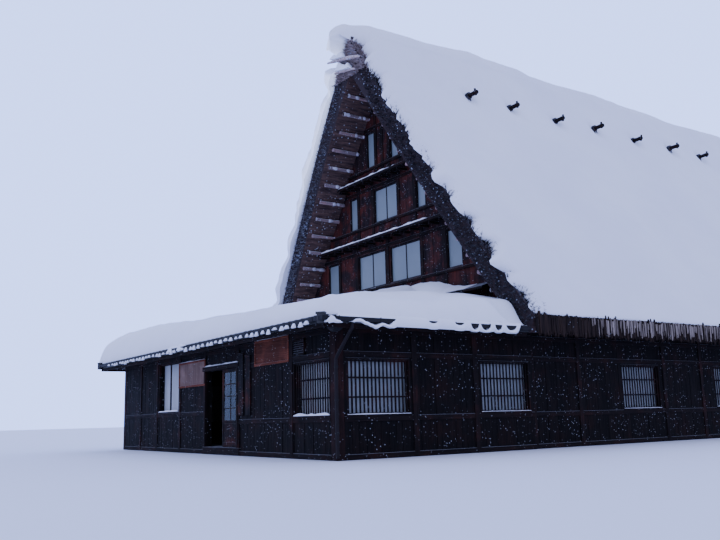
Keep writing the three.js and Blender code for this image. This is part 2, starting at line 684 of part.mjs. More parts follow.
function downPipe() {
  const top = ANNEX_EAVE_Z - GUTTER.drop - GUTTER.depth - GAP;
  const x = eaveRight + GAP + GUTTER.width / 2;
  const postX = ANNEX.right + CORNER_POST.out + PIPE.stand;
  const route = new THREE.CurvePath();
  const stops = [
    [x, PIPE.outletY, top],
    [x, PIPE.outletY, top - PIPE.drop],
    [postX, PIPE.outletY, PIPE.kneeZ],
    [postX, PIPE.outletY, PIPE.footZ],
  ].map((p) => new THREE.Vector3(...p));
  for (let i = 0; i < stops.length - 1; i += 1) route.add(new THREE.LineCurve3(stops[i], stops[i + 1]));
  const section = new THREE.Shape();
  section.absarc(0, 0, PIPE.radius, 0, 2 * Math.PI);
  const pipe = new THREE.ExtrudeGeometry(section, {
    steps: PIPE.steps,
    curveSegments: PIPE.sides,
    extrudePath: route,
    bevelEnabled: false,
  });
  piece("downpipe", "gutter", pipe);
}

thatchSlopes();
ridgeCap();
roofSnow();
gables();
gableFrame();
longWalls();
backWall();
floors();
annexRoof();
annexSnow();
annexWalls();
cornerPosts();
annexReturn();
annexFloor();
entrance();
signs();
pentRoof();
gutterRun();
downPipe();

export default root;
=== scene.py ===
"""A steep thatched farmhouse under deep snow, dressed around its fixed frame.

Metres, +X to the right of the gable, +Y back along the ridge, +Z up. The origin is on the ground
under the middle of the front gable wall.
"""

from __future__ import annotations

import json
import logging
import math
import random
import sys
from collections.abc import Callable, Iterable, Sequence
from dataclasses import asdict, dataclass, field
from enum import Enum
from typing import Any

import bmesh
import bpy
from mathutils import Matrix, Vector, noise

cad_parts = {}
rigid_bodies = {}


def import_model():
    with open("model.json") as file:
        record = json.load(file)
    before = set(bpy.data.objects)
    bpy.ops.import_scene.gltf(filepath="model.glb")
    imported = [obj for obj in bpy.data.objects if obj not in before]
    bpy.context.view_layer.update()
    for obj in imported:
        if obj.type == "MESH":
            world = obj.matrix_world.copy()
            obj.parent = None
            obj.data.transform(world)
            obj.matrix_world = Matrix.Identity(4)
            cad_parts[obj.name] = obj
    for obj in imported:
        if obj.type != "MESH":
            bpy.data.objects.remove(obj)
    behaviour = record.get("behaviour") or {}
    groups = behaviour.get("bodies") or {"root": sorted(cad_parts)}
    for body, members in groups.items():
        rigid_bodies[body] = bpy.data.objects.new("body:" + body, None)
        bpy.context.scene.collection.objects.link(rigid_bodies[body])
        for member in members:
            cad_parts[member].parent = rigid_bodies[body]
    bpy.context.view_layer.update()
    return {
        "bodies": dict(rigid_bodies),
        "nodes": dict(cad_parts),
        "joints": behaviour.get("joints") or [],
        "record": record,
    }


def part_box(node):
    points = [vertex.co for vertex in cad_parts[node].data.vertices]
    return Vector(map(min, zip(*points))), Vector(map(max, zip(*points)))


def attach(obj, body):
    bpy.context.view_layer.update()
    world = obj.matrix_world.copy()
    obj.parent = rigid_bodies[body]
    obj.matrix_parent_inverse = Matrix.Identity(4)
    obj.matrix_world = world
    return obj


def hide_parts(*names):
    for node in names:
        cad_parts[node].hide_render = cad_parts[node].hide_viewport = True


log = logging.getLogger("farmhouse")

Rgb = tuple[float, float, float]
Span = tuple[float, float]
Place = tuple[float, float, float]
Waves = tuple[Place, ...]
Grid = list[list[Vector]]

TONE = "tone"

# The corners of a square, one way round
SQUARE = ((-1, -1), (1, -1), (1, 1), (-1, 1))

# Where the needle poles stand along the ridge, and how high
POLES: tuple[Span, ...] = (
    (2.4, 11.43), (4.3, 11.37), (6.55, 11.32), (8.7, 11.44), (10.95, 11.34), (13.3, 11.43), (15.3, 11.39)
)


class Body(Enum):
    """Bodies of the frame that pieces ride on."""

    HOUSE = "house"
    DOOR = "entrance_door"


class Slot(Enum):
    """Material slots of the record."""

    THATCH = "thatch"
    SNOW = "snow"
    BOARDS = "wall_boards"
    TIMBER = "frame_timber"
    SHOJI = "shoji"
    TILES = "roof_tiles"
    SIGN = "sign_wood"
    GUTTER = "gutter_metal"
    DOOR = "door_wood"


class Axis(Enum):
    """A direction of the frame, by its place in a vector."""

    X = 0
    Y = 1
    Z = 2

    @property
    def unit(self) -> Vector:
        """The direction as a vector one metre long."""
        return Vector([float(i == self.value) for i in range(3)])


class Side(Enum):
    """The two slopes and long walls of the house."""

    RIGHT = 1
    LEFT = -1


class End(Enum):
    """The two gables of the house."""

    FRONT = -1
    BACK = 1


def blend(low: float, high: float, share: float) -> float:
    """The value at a share of the way from low to high."""
    return low + (high - low) * share


def ease(low: float, high: float, value: float) -> float:
    """0 below low, 1 above high, and a smooth step between them."""
    share = min(max((value - low) / (high - low), 0.0), 1.0)
    return share * share * (3 - 2 * share)


def spread(low: float, high: float, count: int) -> list[float]:
    """Evenly spaced values from low to high, both included."""
    return [blend(low, high, i / (count - 1)) for i in range(count)]


def from_table(table: Sequence[Sequence[float]], at: float) -> list[float]:
    """Values read from a table, eased between its rows.

    Args:
        table: Rows of a place and the values there, in the order of the places.
        at: The place to read.

    Returns:
        The values at the place, or those of the nearest row beyond the table's ends.
    """
    if at <= table[0][0]:
        return list(table[0][1:])
    for low, high in zip(table, table[1:]):
        if at <= high[0]:
            share = ease(low[0], high[0], at)
            return [blend(a, b, share) for a, b in zip(low[1:], high[1:])]
    return list(table[-1][1:])


def smooth_path(knots: Sequence[Vector], shares: Iterable[float]) -> list[Vector]:
    """Points on a smooth line through some knots.

    Args:
        knots: The points that the line passes through.
        shares: Where the points lie, from 0 at the first knot to 1 at the last.

    Returns:
        One point for each share.
    """
    last = len(knots) - 1
    points = []
    for share in shares:
        place = min(max(share, 0.0), 1.0) * last
        i = min(int(place), last - 1)
        t = place - i
        before, a = knots[max(i - 1, 0)], knots[i]
        b, after = knots[i + 1], knots[min(i + 2, last)]
        start, end = (b - before) / 2, (after - a) / 2
        points.append(
            a * (2 * t**3 - 3 * t**2 + 1)
            + start * (t**3 - 2 * t**2 + t)
            + b * (3 * t**2 - 2 * t**3)
            + end * (t**3 - t**2)
        )
    return points


class Draft:
    """Points and faces of a piece while it is made, with a tone for each point."""

    def __init__(self) -> None:
        """Starts with nothing in it."""
        self.points: list[Vector] = []
        self.faces: list[tuple[int, ...]] = []
        self.tones: list[float] = []

    def add(self, points: Sequence[Vector], faces: Iterable[Sequence[int]], tone: float = 0.5) -> None:
        """Adds a closed body.

        Args:
            points: Its corners.
            faces: Its faces, as corner numbers.
            tone: How light its finish is, from 0 to 1.
        """
        first = len(self.points)
        self.points += [Vector(p) for p in points]
        self.tones += [tone] * len(points)
        self.faces += [tuple(first + i for i in face) for face in faces]

    def take(self, other: Draft) -> None:
        """Adds all that another draft holds, with its tones.

        Args:
            other: The other draft.
        """
        first = len(self.points)
        self.points += other.points
        self.tones += other.tones
        self.faces += [tuple(first + i for i in face) for face in other.faces]

    def prism(self, outline: Sequence[Vector], along: Vector, tone: float = 0.5) -> None:
        """Adds a flat outline drawn out along a vector.

        Args:
            outline: The corners, one way round.
            along: How far and which way it is drawn out.
            tone: How light its finish is.
        """
        n = len(outline)
        sides = [(i, (i + 1) % n, n + (i + 1) % n, n + i) for i in range(n)]
        ends = [tuple(range(n)), tuple(reversed(range(n, 2 * n)))]
        self.add([*outline, *[p + along for p in outline]], [*ends, *sides], tone)

    def box(self, low: Sequence[float], high: Sequence[float], tone: float = 0.5) -> None:
        """Adds a block between its lowest and highest corners.

        Args:
            low: The lowest corner.
            high: The highest corner.
            tone: How light its finish is.
        """
        (x0, y0, z0), (x1, y1, z1) = low, high
        outline = [Vector((x0, y0, z0)), Vector((x1, y0, z0)), Vector((x1, y1, z0)), Vector((x0, y1, z0))]
        self.prism(outline, Vector((0, 0, z1 - z0)), tone)

    def bar(self, start: Vector, end: Vector, width: Vector, depth: Vector, tone: float = 0.5) -> None:
        """Adds a square bar between two points, with its cross-section as two vectors."""
        corners = [start + 0.5 * (width * a + depth * b) for a, b in SQUARE]
        self.prism(corners, end - start, tone)

    def tube(self, path: Sequence[Vector], radii: Sequence[float], sides: int = 8, tone: float = 0.5) -> None:
        """Adds a round closed body along a path.

        Args:
            path: The middle of each ring.
            radii: The radius of each ring.
            sides: Corners of a ring.
            tone: How light its finish is.
        """
        rings = []
        for i, (middle, radius) in enumerate(zip(path, radii)):
            ahead = (path[min(i + 1, len(path) - 1)] - path[max(i - 1, 0)]).normalized()
            other = Axis.Z.unit if abs(ahead.z) < 0.9 else Axis.X.unit
            u = ahead.cross(other).normalized()
            v = u.cross(ahead)
            turns = [2 * math.pi * k / sides for k in range(sides)]
            rings.append([middle + (u * math.cos(t) + v * math.sin(t)) * radius for t in turns])
        self.rings(rings, tone)

    def rings(self, rings: Sequence[Sequence[Vector]], tone: float = 0.5) -> None:
        """Adds a body through rings of the same number of corners, closed at both ends.

        Args:
            rings: The corners of each ring.
            tone: How light its finish is.
        """
        n = len(rings[0])
        faces = [tuple(range(n)), tuple(reversed(range(n * (len(rings) - 1), n * len(rings))))]
        for r in range(0, n * (len(rings) - 1), n):
            faces += [(r + i, r + (i + 1) % n, r + n + (i + 1) % n, r + n + i) for i in range(n)]
        self.add([p for ring in rings for p in ring], faces, tone)

    def blanket(self, top: Grid, under: Grid | None = None, tone: float = 0.5) -> None:
        """Adds a closed sheet whose upper and lower faces share one rim.

        Args:
            top: The upper surface, down to the rim on all four sides.
            under: The lower surface with the same rim, or nothing where it is straight along each row.
            tone: How light its finish is.
        """
        rows, cols = len(top), len(top[0])
        points = [p for row in top for p in row]
        number = [[i * cols + j for j in range(cols)] for i in range(rows)]
        faces = self._quads(number)
        if under is None:
            faces += [
                (*number[i][:: cols - 1], *reversed(number[i + 1][:: cols - 1])) for i in range(1, rows - 2)
            ]
            faces.append((*number[0], *reversed(number[1][:: cols - 1])))
            faces.append((*number[-1], *reversed(number[-2][:: cols - 1])))
        else:
            below = [row[:] for row in number]
            for i in range(1, rows - 1):
                for j in range(1, cols - 1):
                    below[i][j] = len(points)
                    points.append(under[i][j])
            faces += [tuple(reversed(f)) for f in self._quads(below)]
        self.add(points, faces, tone)

    @staticmethod
    def _quads(number: list[list[int]]) -> list[tuple[int, ...]]:
        """The faces between neighbouring rows and columns of numbered points.

        Args:
            number: The points' numbers, row by row.

        Returns:
            Four numbers for each face.
        """
        return [
            (number[i][j], number[i][j + 1], number[i + 1][j + 1], number[i + 1][j])
            for i in range(len(number) - 1)
            for j in range(len(number[0]) - 1)
        ]

    def mesh(self, name: str) -> bpy.types.Mesh:
        """The draft as a mesh whose faces point outwards, with its tones.

        Args:
            name: The mesh's name.

        Returns:
            The new mesh.
        """
        mesh = bpy.data.meshes.new(name)
        mesh.from_pydata([tuple(p) for p in self.points], [], self.faces)
        tones = mesh.attributes.new(TONE, "FLOAT", "POINT")
        tones.data.foreach_set("value", self.tones)
        solid = bmesh.new()
        solid.from_mesh(mesh)
        bmesh.ops.recalc_face_normals(solid, faces=solid.faces)
        solid.to_mesh(mesh)
        solid.free()
        return mesh

    def piece(self, name: str, crease: float | None = None) -> bpy.types.Object:
        """The draft as an object in the scene.

        Args:
            name: The piece's name.
            crease: The angle in degrees past which an edge stays sharp, or nothing for flat faces.

        Returns:
            The new object.
        """
        mesh = self.mesh(name)
        if crease is not None:
            mesh.shade_smooth()
            mesh.set_sharp_from_angle(angle=math.radians(crease))
        made = bpy.data.objects.new(name, mesh)
        bpy.context.scene.collection.objects.link(made)
        return made


def settle(piece: bpy.types.Object) -> bpy.types.Object:
    """Turns a piece with live modifiers into a plain mesh.

    Args:
        piece: The piece.

    Returns:
        The same piece, without modifiers.
    """
    graph = bpy.context.evaluated_depsgraph_get()
    mesh = bpy.data.meshes.new_from_object(piece.evaluated_get(graph))
    piece.modifiers.clear()
    piece.data = mesh
    mesh.name = piece.name
    return piece


def soften(piece: bpy.types.Object, width: float, segments: int = 1) -> bpy.types.Object:
    """Rounds the sharp edges of a piece.

    Args:
        piece: The piece.
        width: How wide the rounding is.
        segments: How many faces it has.

    Returns:
        The same piece, rounded.
    """
    bevel = piece.modifiers.new("soften", "BEVEL")
    bevel.width = width
    bevel.segments = segments
    bevel.limit_method = "ANGLE"
    bevel.angle_limit = math.radians(40)
    bevel.harden_normals = False
    return settle(piece)


def merge(name: str, pieces: Sequence[bpy.types.Object]) -> bpy.types.Object:
    """Joins pieces into one of the given name.

    Args:
        name: The name of the result.
        pieces: The pieces, of which the first takes in the others.

    Returns:
        The joined piece.
    """
    first = pieces[0]
    if len(pieces) > 1:
        with bpy.context.temp_override(active_object=first, selected_editable_objects=list(pieces)):
            bpy.ops.object.join()
    first.name = name
    first.data.name = name
    return first


class Sketch:
    """Adds nodes and links to a node tree in few words."""

    def __init__(self, tree: bpy.types.NodeTree) -> None:
        """Starts a sketch in a node tree."""
        self.tree = tree

    @staticmethod
    def find(sockets: Iterable[bpy.types.NodeSocket], key: str | int) -> bpy.types.NodeSocket:
        """The socket in use with a name, or with a number.

        Args:
            sockets: A node's inputs or outputs.
            key: The name or the number.

        Returns:
            The socket.
        """
        if isinstance(key, int):
            return list(sockets)[key]
        return next(s for s in sockets if s.name == key and s.enabled)

    def add(self, kind: str, inputs: dict[str | int, Any] | None = None, **settings: Any) -> bpy.types.Node:
        """Adds a node.

        Args:
            kind: The node's type.
            inputs: Values or sockets for its inputs.
            settings: Its other properties.

        Returns:
            The new node.
        """
        node = self.tree.nodes.new(kind)
        for key, value in settings.items():
            setattr(node, key, value)
        self.fill(node, inputs or {})
        return node

    def fill(self, node: bpy.types.Node, inputs: dict[str | int, Any]) -> None:
        """Gives some inputs of a node their values.

        Args:
            node: The node.
            inputs: Values or sockets by the inputs' names or numbers.
        """
        for key, value in inputs.items():
            socket = self.find(node.inputs, key)
            if isinstance(value, bpy.types.NodeSocket):
                self.tree.links.new(value, socket)
            else:
                socket.default_value = value

    def value(
        self, kind: str, inputs: dict[str | int, Any] | None = None, out: str | int = 0, **settings: Any
    ) -> bpy.types.NodeSocket:
        """Adds a node and gives one of its outputs."""
        return self.find(self.add(kind, inputs, **settings).outputs, out)

    def math(self, operation: str, a: Any, b: Any = 0.5) -> bpy.types.NodeSocket:
        """Adds a sum, clamped to 0 and above 1."""
        return self.value("ShaderNodeMath", {0: a, 1: b}, operation=operation, use_clamp=True)

    def mix(self, share: Any, a: Any, b: Any) -> bpy.types.NodeSocket:
        """Adds a mix of two colours."""
        inputs = {"Factor": share, "A": rgba(a), "B": rgba(b)}
        return self.value("ShaderNodeMix", inputs, "Result", data_type="RGBA", clamp_factor=True)

    def ramp(
        self, value: Any, low: Any, high: Any, to: Span = (0.0, 1.0), smooth: bool = False
    ) -> bpy.types.NodeSocket:
        """Adds a ramp between two levels of a value.

        Args:
            value: What it reads.
            low: The level at which it starts.
            high: The level at which it ends.
            to: What it gives at its start and at its end.
            smooth: Whether both ends are eased.

        Returns:
            The ramp's result.
        """
        inputs = {"Value": value, "From Min": low, "From Max": high, "To Min": to[0], "To Max": to[1]}
        ease_kind = "SMOOTHSTEP" if smooth else "LINEAR"
        return self.value("ShaderNodeMapRange", inputs, interpolation_type=ease_kind)

    def noise(
        self, at: Any, scale: Any, detail: float, roughness: float = 0.5, distortion: float = 0.0
    ) -> bpy.types.NodeSocket:
        """Adds a cloudy noise.

        Args:
            at: The place that it reads.
            scale: How many clouds there are in a metre.
            detail: How many finer layers it has.
            roughness: How strong the finer layers are.
            distortion: How twisted it is.

        Returns:
            The noise, from 0 to 1.
        """
        inputs = {"Vector": at, "Scale": scale, "Detail": detail, "Roughness": roughness}
        return self.value("ShaderNodeTexNoise", {**inputs, "Distortion": distortion})

    def up(self) -> bpy.types.NodeSocket:
        """How far up each face looks, from -1 to 1."""
        normal = self.value("ShaderNodeNewGeometry", out="Normal")
        return self.value("ShaderNodeSeparateXYZ", {"Vector": normal}, "Z")


def rgba(color: Any) -> Any:
    """A colour with full alpha, or a socket as it is."""
    return color if isinstance(color, bpy.types.NodeSocket) else (*color, 1.0)


@dataclass(frozen=True)
class Knob:
    """A named input of a node tree, with its socket type and its value at first."""

    name: str
    kind: str
    start: Any = None


def new_tree(name: str, kind: str, knobs: Sequence[Knob], outputs: Sequence[Knob]) -> tuple[Sketch, Any, Any]:
    """Makes a node tree with named inputs and outputs.

    Args:
        name: The tree's name.
        kind: Its type.
        knobs: Its inputs.
        outputs: Its outputs.

    Returns:
        A sketch of the tree, the sockets of its inputs and its outputs' node.
    """
    tree = bpy.data.node_groups.new(name, kind)
    for knob in knobs:
        socket = tree.interface.new_socket(name=knob.name, in_out="INPUT", socket_type=knob.kind)
        if knob.start is not None:
            socket.default_value = knob.start
    for knob in outputs:
        tree.interface.new_socket(name=knob.name, in_out="OUTPUT", socket_type=knob.kind)
    sketch = Sketch(tree)
    return sketch, sketch.add("NodeGroupInput").outputs, sketch.add("NodeGroupOutput")


FLOAT = "NodeSocketFloat"
VECTOR = "NodeSocketVector"
GEOMETRY = "NodeSocketGeometry"


class SharedGroups:
    """The effects that more than one finish uses, each built once."""

    def __init__(self) -> None:
        """Builds every group."""
        self.patches = self._patches()
        self.grain = self._grain()
        self.blown_snow = self._blown_snow()

    @staticmethod
    def _patches() -> bpy.types.NodeTree:
        """Soft patches of wear or stain: a mask between two levels of a noise.

        Returns:
            The group's tree.
        """
        knobs = [
            Knob("Vector", VECTOR),
            Knob("Scale", FLOAT, 1.0),
            Knob("From", FLOAT, 0.4),
            Knob("To", FLOAT, 0.6),
        ]
        sketch, given, result = new_tree("patches", "ShaderNodeTree", knobs, [Knob("Mask", FLOAT)])
        cloud = sketch.noise(given["Vector"], given["Scale"], detail=5.0, roughness=0.6)
        sketch.fill(result, {"Mask": sketch.ramp(cloud, given["From"], given["To"], smooth=True)})
        return sketch.tree

    @staticmethod
    def _grain() -> bpy.types.NodeTree:
        """Long fibres along the third axis of the vector that comes in.

        Returns:
            The group's tree.
        """
        knobs = [Knob("Vector", VECTOR), Knob("Fineness", FLOAT, 30.0), Knob("Length", FLOAT, 0.04)]
        outputs = [Knob("Mask", FLOAT), Knob("Height", FLOAT)]
        sketch, given, result = new_tree("grain", "ShaderNodeTree", knobs, outputs)
        squeeze = sketch.value("ShaderNodeCombineXYZ", {"X": 1.0, "Y": 1.0, "Z": given["Length"]})
        drawn = sketch.value("ShaderNodeVectorMath", {0: given["Vector"], 1: squeeze}, operation="MULTIPLY")
        fibre = sketch.noise(drawn, given["Fineness"], detail=4.0, roughness=0.7, distortion=0.6)
        sketch.fill(result, {"Mask": sketch.ramp(fibre, 0.32, 0.68), "Height": fibre})
        return sketch.tree

    @staticmethod
    def _blown_snow() -> bpy.types.NodeTree:
        """Snow that the wind has left: on faces that look up, and as flecks on the others.

        Returns:
            The group's tree.
        """
        knobs = [
            Knob("Vector", VECTOR),
            Knob("Flecks", FLOAT, 0.3),
            Knob("Fleck Scale", FLOAT, 14.0),
            Knob("Lying", FLOAT, 1.0),
        ]
        sketch, given, result = new_tree("blown_snow", "ShaderNodeTree", knobs, [Knob("Mask", FLOAT)])
        flat = sketch.ramp(sketch.up(), 0.45, 0.8, smooth=True)
        lying = sketch.math("MULTIPLY", flat, given["Lying"])
        dots = {"Vector": given["Vector"], "Scale": given["Fleck Scale"], "Randomness": 1.0}
        cells = sketch.value("ShaderNodeTexVoronoi", dots, "Distance")
        radius = sketch.value("ShaderNodeMath", {0: given["Flecks"], 1: 0.5}, operation="MULTIPLY")
        inner = sketch.value("ShaderNodeMath", {0: radius, 1: 0.5}, operation="MULTIPLY")
        fleck = sketch.ramp(cells, inner, radius, to=(1.0, 0.0))
        cloud = sketch.noise(given["Vector"], scale=2.3, detail=3.0, roughness=0.6)
        blown = sketch.math("MULTIPLY", fleck, sketch.ramp(cloud, 0.42, 0.62))
        sketch.fill(result, {"Mask": sketch.math("MAXIMUM", lying, blown)})
        return sketch.tree


class Brush(Sketch):
    """Adds the nodes of one material: its shader, and the shared groups with values of their own."""

    def __init__(self, tree: bpy.types.NodeTree, groups: SharedGroups) -> None:
        """Makes the shader and the material's output.

        Args:
            tree: The material's node tree.
            groups: The groups that the finishes share.
        """
        super().__init__(tree)
        self.groups = groups
        self.shader = self.add("ShaderNodeBsdfPrincipled")
        self.add("ShaderNodeOutputMaterial", {"Surface": self.shader.outputs["BSDF"]})

    def coat(self, inputs: dict[str | int, Any]) -> None:
        """Gives some inputs of the shader their values."""
        self.fill(self.shader, inputs)

    def place(
        self, stretch: Sequence[float] = (1, 1, 1), turn: Sequence[float] = (0, 0, 0)
    ) -> bpy.types.NodeSocket:
        """The place on the piece, stretched or turned.

        Args:
            stretch: How much finer the pattern gets along each axis.
            turn: The angle about each axis.

        Returns:
            The place's socket.
        """
        at = self.value("ShaderNodeTexCoord", out="Object")
        inputs = {"Vector": at, "Scale": tuple(stretch), "Rotation": tuple(turn)}
        return self.value("ShaderNodeMapping", inputs)

    def tone(self) -> bpy.types.NodeSocket:
        """How light each part of the piece is, from 0 to 1."""
        return self.value("ShaderNodeAttribute", out="Fac", attribute_name=TONE)

    def patches(self, at: Any, scale: float, low: float, high: float) -> bpy.types.NodeSocket:
        """Soft patches that fade between two levels."""
        inputs = {"Vector": at, "Scale": scale, "From": low, "To": high}
        return self.value("ShaderNodeGroup", inputs, "Mask", node_tree=self.groups.patches)

    def blown_snow(
        self, at: Any, flecks: float, lying: float = 1.0, scale: float = 14.0
    ) -> bpy.types.NodeSocket:
        """Snow in flecks and on ledges."""
        inputs = {"Vector": at, "Flecks": flecks, "Fleck Scale": scale, "Lying": lying}
        return self.value("ShaderNodeGroup", inputs, "Mask", node_tree=self.groups.blown_snow)

    def bump(self, height: Any, strength: float, distance: float) -> None:
        """Raises the surface by a height."""
        inputs = {"Height": height, "Strength": strength, "Distance": distance}
        self.coat({"Normal": self.value("ShaderNodeBump", inputs)})


@dataclass(frozen=True)
class Finish:
    """A surface finish, made into a material when it is first used."""

    name: str
    slot: Slot

    def material(self, groups: SharedGroups) -> bpy.types.Material:
        """The finish as a material, the same one each time.

        Args:
            groups: The groups that the finishes share.

        Returns:
            The material.
        """
        made = bpy.data.materials.get(self.name)
        if made is None:
            made = bpy.data.materials.new(self.name)
            made.use_nodes = True
            made.node_tree.nodes.clear()
            self.paint(Brush(made.node_tree, groups))
        return made

    def paint(self, brush: Brush) -> None:
        """Adds the finish's own nodes to the shader."""
        raise NotImplementedError


@dataclass(frozen=True)
class SnowFinish(Finish):
    """Dry snow with a fine crust, and soft patches of painted shade between a lit and a shaded colour."""

    lit: Rgb = (0.83, 0.84, 0.88)
    shaded: Rgb = (0.78, 0.79, 0.85)

    def paint(self, brush: Brush) -> None:
        """Paints soft patches of painted shade and a grainy crust.

        Args:
            brush: The brush of its material.
        """
        at = brush.place()
        painted_shade_patches = brush.patches(at, 0.35, 0.3, 0.7)
        # painted shade: noise patches mix the shaded colour into the lit one
        color = brush.mix(painted_shade_patches, self.shaded, self.lit)
        brush.coat({"Base Color": color, "Roughness": 0.75, "Specular IOR Level": 0.2})
        crust = brush.noise(at, scale=22.0, detail=5.0, roughness=0.65)
        brush.bump(crust, strength=0.25, distance=0.02)


@dataclass(frozen=True)
class LipSnowFinish(SnowFinish):
    """Snow with a thin lip at the front on the left, whose underside carries painted light: an emission that
    stands in for the sky's light coming through the thin snow.

    The spans say where the painted glow starts and where it is full, in metres and in how far up a face
    looks.
    """

    glow: Rgb = (0.5, 0.58, 0.85)
    leftwards: Span = (0.0, -0.4)
    forwards: Span = (-1.2, -1.42)
    upwards: Span = (5.0, 8.0)
    facing_down: Span = (0.45, 0.05)

    def paint(self, brush: Brush) -> None:
        """Paints the snow, and painted light on the underside of its lip: an emission standing in for light
        through the thin snow.

        Args:
            brush: The brush of its material.
        """
        super().paint(brush)
        at = brush.add("ShaderNodeSeparateXYZ", {"Vector": brush.place()}).outputs
        share = brush.ramp(at["X"], *self.leftwards)
        rest = ((at["Y"], self.forwards), (at["Z"], self.upwards), (brush.up(), self.facing_down))
        for value, span in rest:
            share = brush.math("MULTIPLY", share, brush.ramp(value, *span))
        # painted light: an emission on the lip's underside that lifts its shade
        light = brush.mix(share, (0.0, 0.0, 0.0), self.glow)
        brush.coat({"Emission Color": light, "Emission Strength": 1.0})


@dataclass(frozen=True)
class WoodFinish(Finish):
    """Old wood with its grain, worn patches and blown snow."""

    dark: Rgb = (0.012, 0.009, 0.010)
    light: Rgb = (0.045, 0.022, 0.016)
    worn: Rgb = (0.075, 0.020, 0.013)
    wear: Span = (0.45, 0.7)
    wear_scale: float = 1.7
    along: Axis = Axis.Z
    flecks: float = 0.2
    lying: float = 1.0
    snow: Rgb = (0.55, 0.58, 0.66)

    def paint(self, brush: Brush) -> None:
        """Paints grain along the wood, reddish wear, and snow on ledges and in flecks.

        Args:
            brush: The brush of its material.
        """
        quarter = math.pi / 2
        turn = {Axis.X: (0, quarter, 0), Axis.Y: (quarter, 0, 0), Axis.Z: (0, 0, 0)}[self.along]
        turned = {"Vector": brush.place(turn=turn)}
        grain = brush.add("ShaderNodeGroup", turned, node_tree=brush.groups.grain).outputs
        at = brush.place()
        light = brush.math("MULTIPLY", grain["Mask"], brush.math("ADD", brush.tone(), 0.35))
        color = brush.mix(light, self.dark, self.light)
        patches = brush.patches(at, self.wear_scale, *self.wear)
        wear = brush.math("MULTIPLY", patches, brush.math("ADD", light, 0.25))
        snow = brush.blown_snow(at, self.flecks, self.lying)
        color = brush.mix(snow, brush.mix(wear, color, self.worn), self.snow)
        rough = brush.ramp(grain["Mask"], 0.0, 1.0, to=(0.9, 0.7))
        brush.coat({"Base Color": color, "Roughness": rough, "Specular IOR Level": 0.1})
        brush.bump(grain["Height"], strength=0.5, distance=0.006)


@dataclass(frozen=True)
class ReedFinish(Finish):
    """Cut reeds: every bundle a little lighter or darker, with snow caught in them."""

    dark: Rgb = (0.010, 0.012, 0.020)
    light: Rgb = (0.045, 0.048, 0.060)
    flecks: float = 0.2
    fleck_scale: float = 9.0
    lying: float = 0.3
    stripes: Place = (9.0, 9.0, 9.0)
    # Colour of faces that look down. On the thatch body it is the reeds' own browner underside, lifted as
    # painted light in the shade under the roof; on the eave tips and the ridge straw it is darker than the
    # lit colour, as painted shade under them.
    under: Rgb = (0.078, 0.050, 0.046)
    facing_down: Span = (-0.3, -0.5)
    snow: Rgb = (0.5, 0.56, 0.68)

    def paint(self, brush: Brush) -> None:
        """Paints light and dark reeds and the snow caught in them.

        Args:
            brush: The brush of its material.
        """
        strands = brush.noise(brush.place(self.stripes), scale=1.0, detail=4.0, roughness=0.75)
        lit = brush.math("ADD", brush.tone(), 0.3)
        share = brush.math("MULTIPLY", brush.ramp(strands, 0.35, 0.68), lit)
        # faces that look down take the under colour: painted light and shade on the undersides, with the
        # thatch's real browner underside
        below = brush.ramp(brush.up(), *self.facing_down)
        color = brush.mix(share, self.dark, brush.mix(below, self.light, self.under))
        snow = brush.blown_snow(brush.place(), self.flecks, self.lying, self.fleck_scale)
        color = brush.mix(snow, color, self.snow)
        brush.coat({"Base Color": color, "Roughness": 0.95, "Specular IOR Level": 0.1})
        brush.bump(strands, strength=0.6, distance=0.02)


@dataclass(frozen=True)
class PaperFinish(Finish):
    """Paper behind the windows, faintly cloudy."""

    pale: Rgb = (0.19, 0.226, 0.235)
    deep: Rgb = (0.157, 0.19, 0.2)

    def paint(self, brush: Brush) -> None:
        """Paints faint clouds and the paper's fibre.

        Args:
            brush: The brush of its material.
        """
        at = brush.place()
        cloud = brush.patches(at, 0.8, 0.25, 0.75)
        brush.coat({"Base Color": brush.mix(cloud, self.deep, self.pale), "Roughness": 0.45})
        fibre = brush.noise(at, scale=90.0, detail=3.0)
        brush.bump(fibre, strength=0.1, distance=0.001)


@dataclass(frozen=True)
class MetalFinish(Finish):
    """Painted sheet metal, dull with weather."""

    fresh: Rgb = (0.007, 0.007, 0.009)
    dull: Rgb = (0.013, 0.012, 0.015)
    metallic: float = 0.15
    snow: Rgb = (0.6, 0.66, 0.78)

    def paint(self, brush: Brush) -> None:
        """Paints weathered patches and the snow that lies on it.

        Args:
            brush: The brush of its material.
        """
        at = brush.place()
        dull = brush.patches(at, 5.0, 0.35, 0.65)
        snow = brush.blown_snow(at, flecks=0.12)
        color = brush.mix(snow, brush.mix(dull, self.fresh, self.dull), self.snow)
        rough = brush.ramp(dull, 0.0, 1.0, to=(0.55, 0.75))
        brush.coat({"Base Color": color, "Roughness": rough})
        brush.coat({"Metallic": self.metallic, "Specular IOR Level": 0.2})


@dataclass(frozen=True)
class TileFinish(Finish):
    """Smoked clay tiles with worn edges."""

    dark: Rgb = (0.006, 0.006, 0.008)
    light: Rgb = (0.020, 0.020, 0.024)

    def paint(self, brush: Brush) -> None:
        """Paints uneven firing and pitted clay.

        Args:
            brush: The brush of its material.
        """
        at = brush.place()
        fired = brush.patches(at, 3.0, 0.35, 0.7)
        share = brush.math("MULTIPLY", fired, brush.math("ADD", brush.tone(), 0.4))
        brush.coat({"Base Color": brush.mix(share, self.dark, self.light), "Roughness": 0.5})
        pits = brush.noise(at, scale=60.0, detail=4.0)
        brush.bump(pits, strength=0.3, distance=0.003)


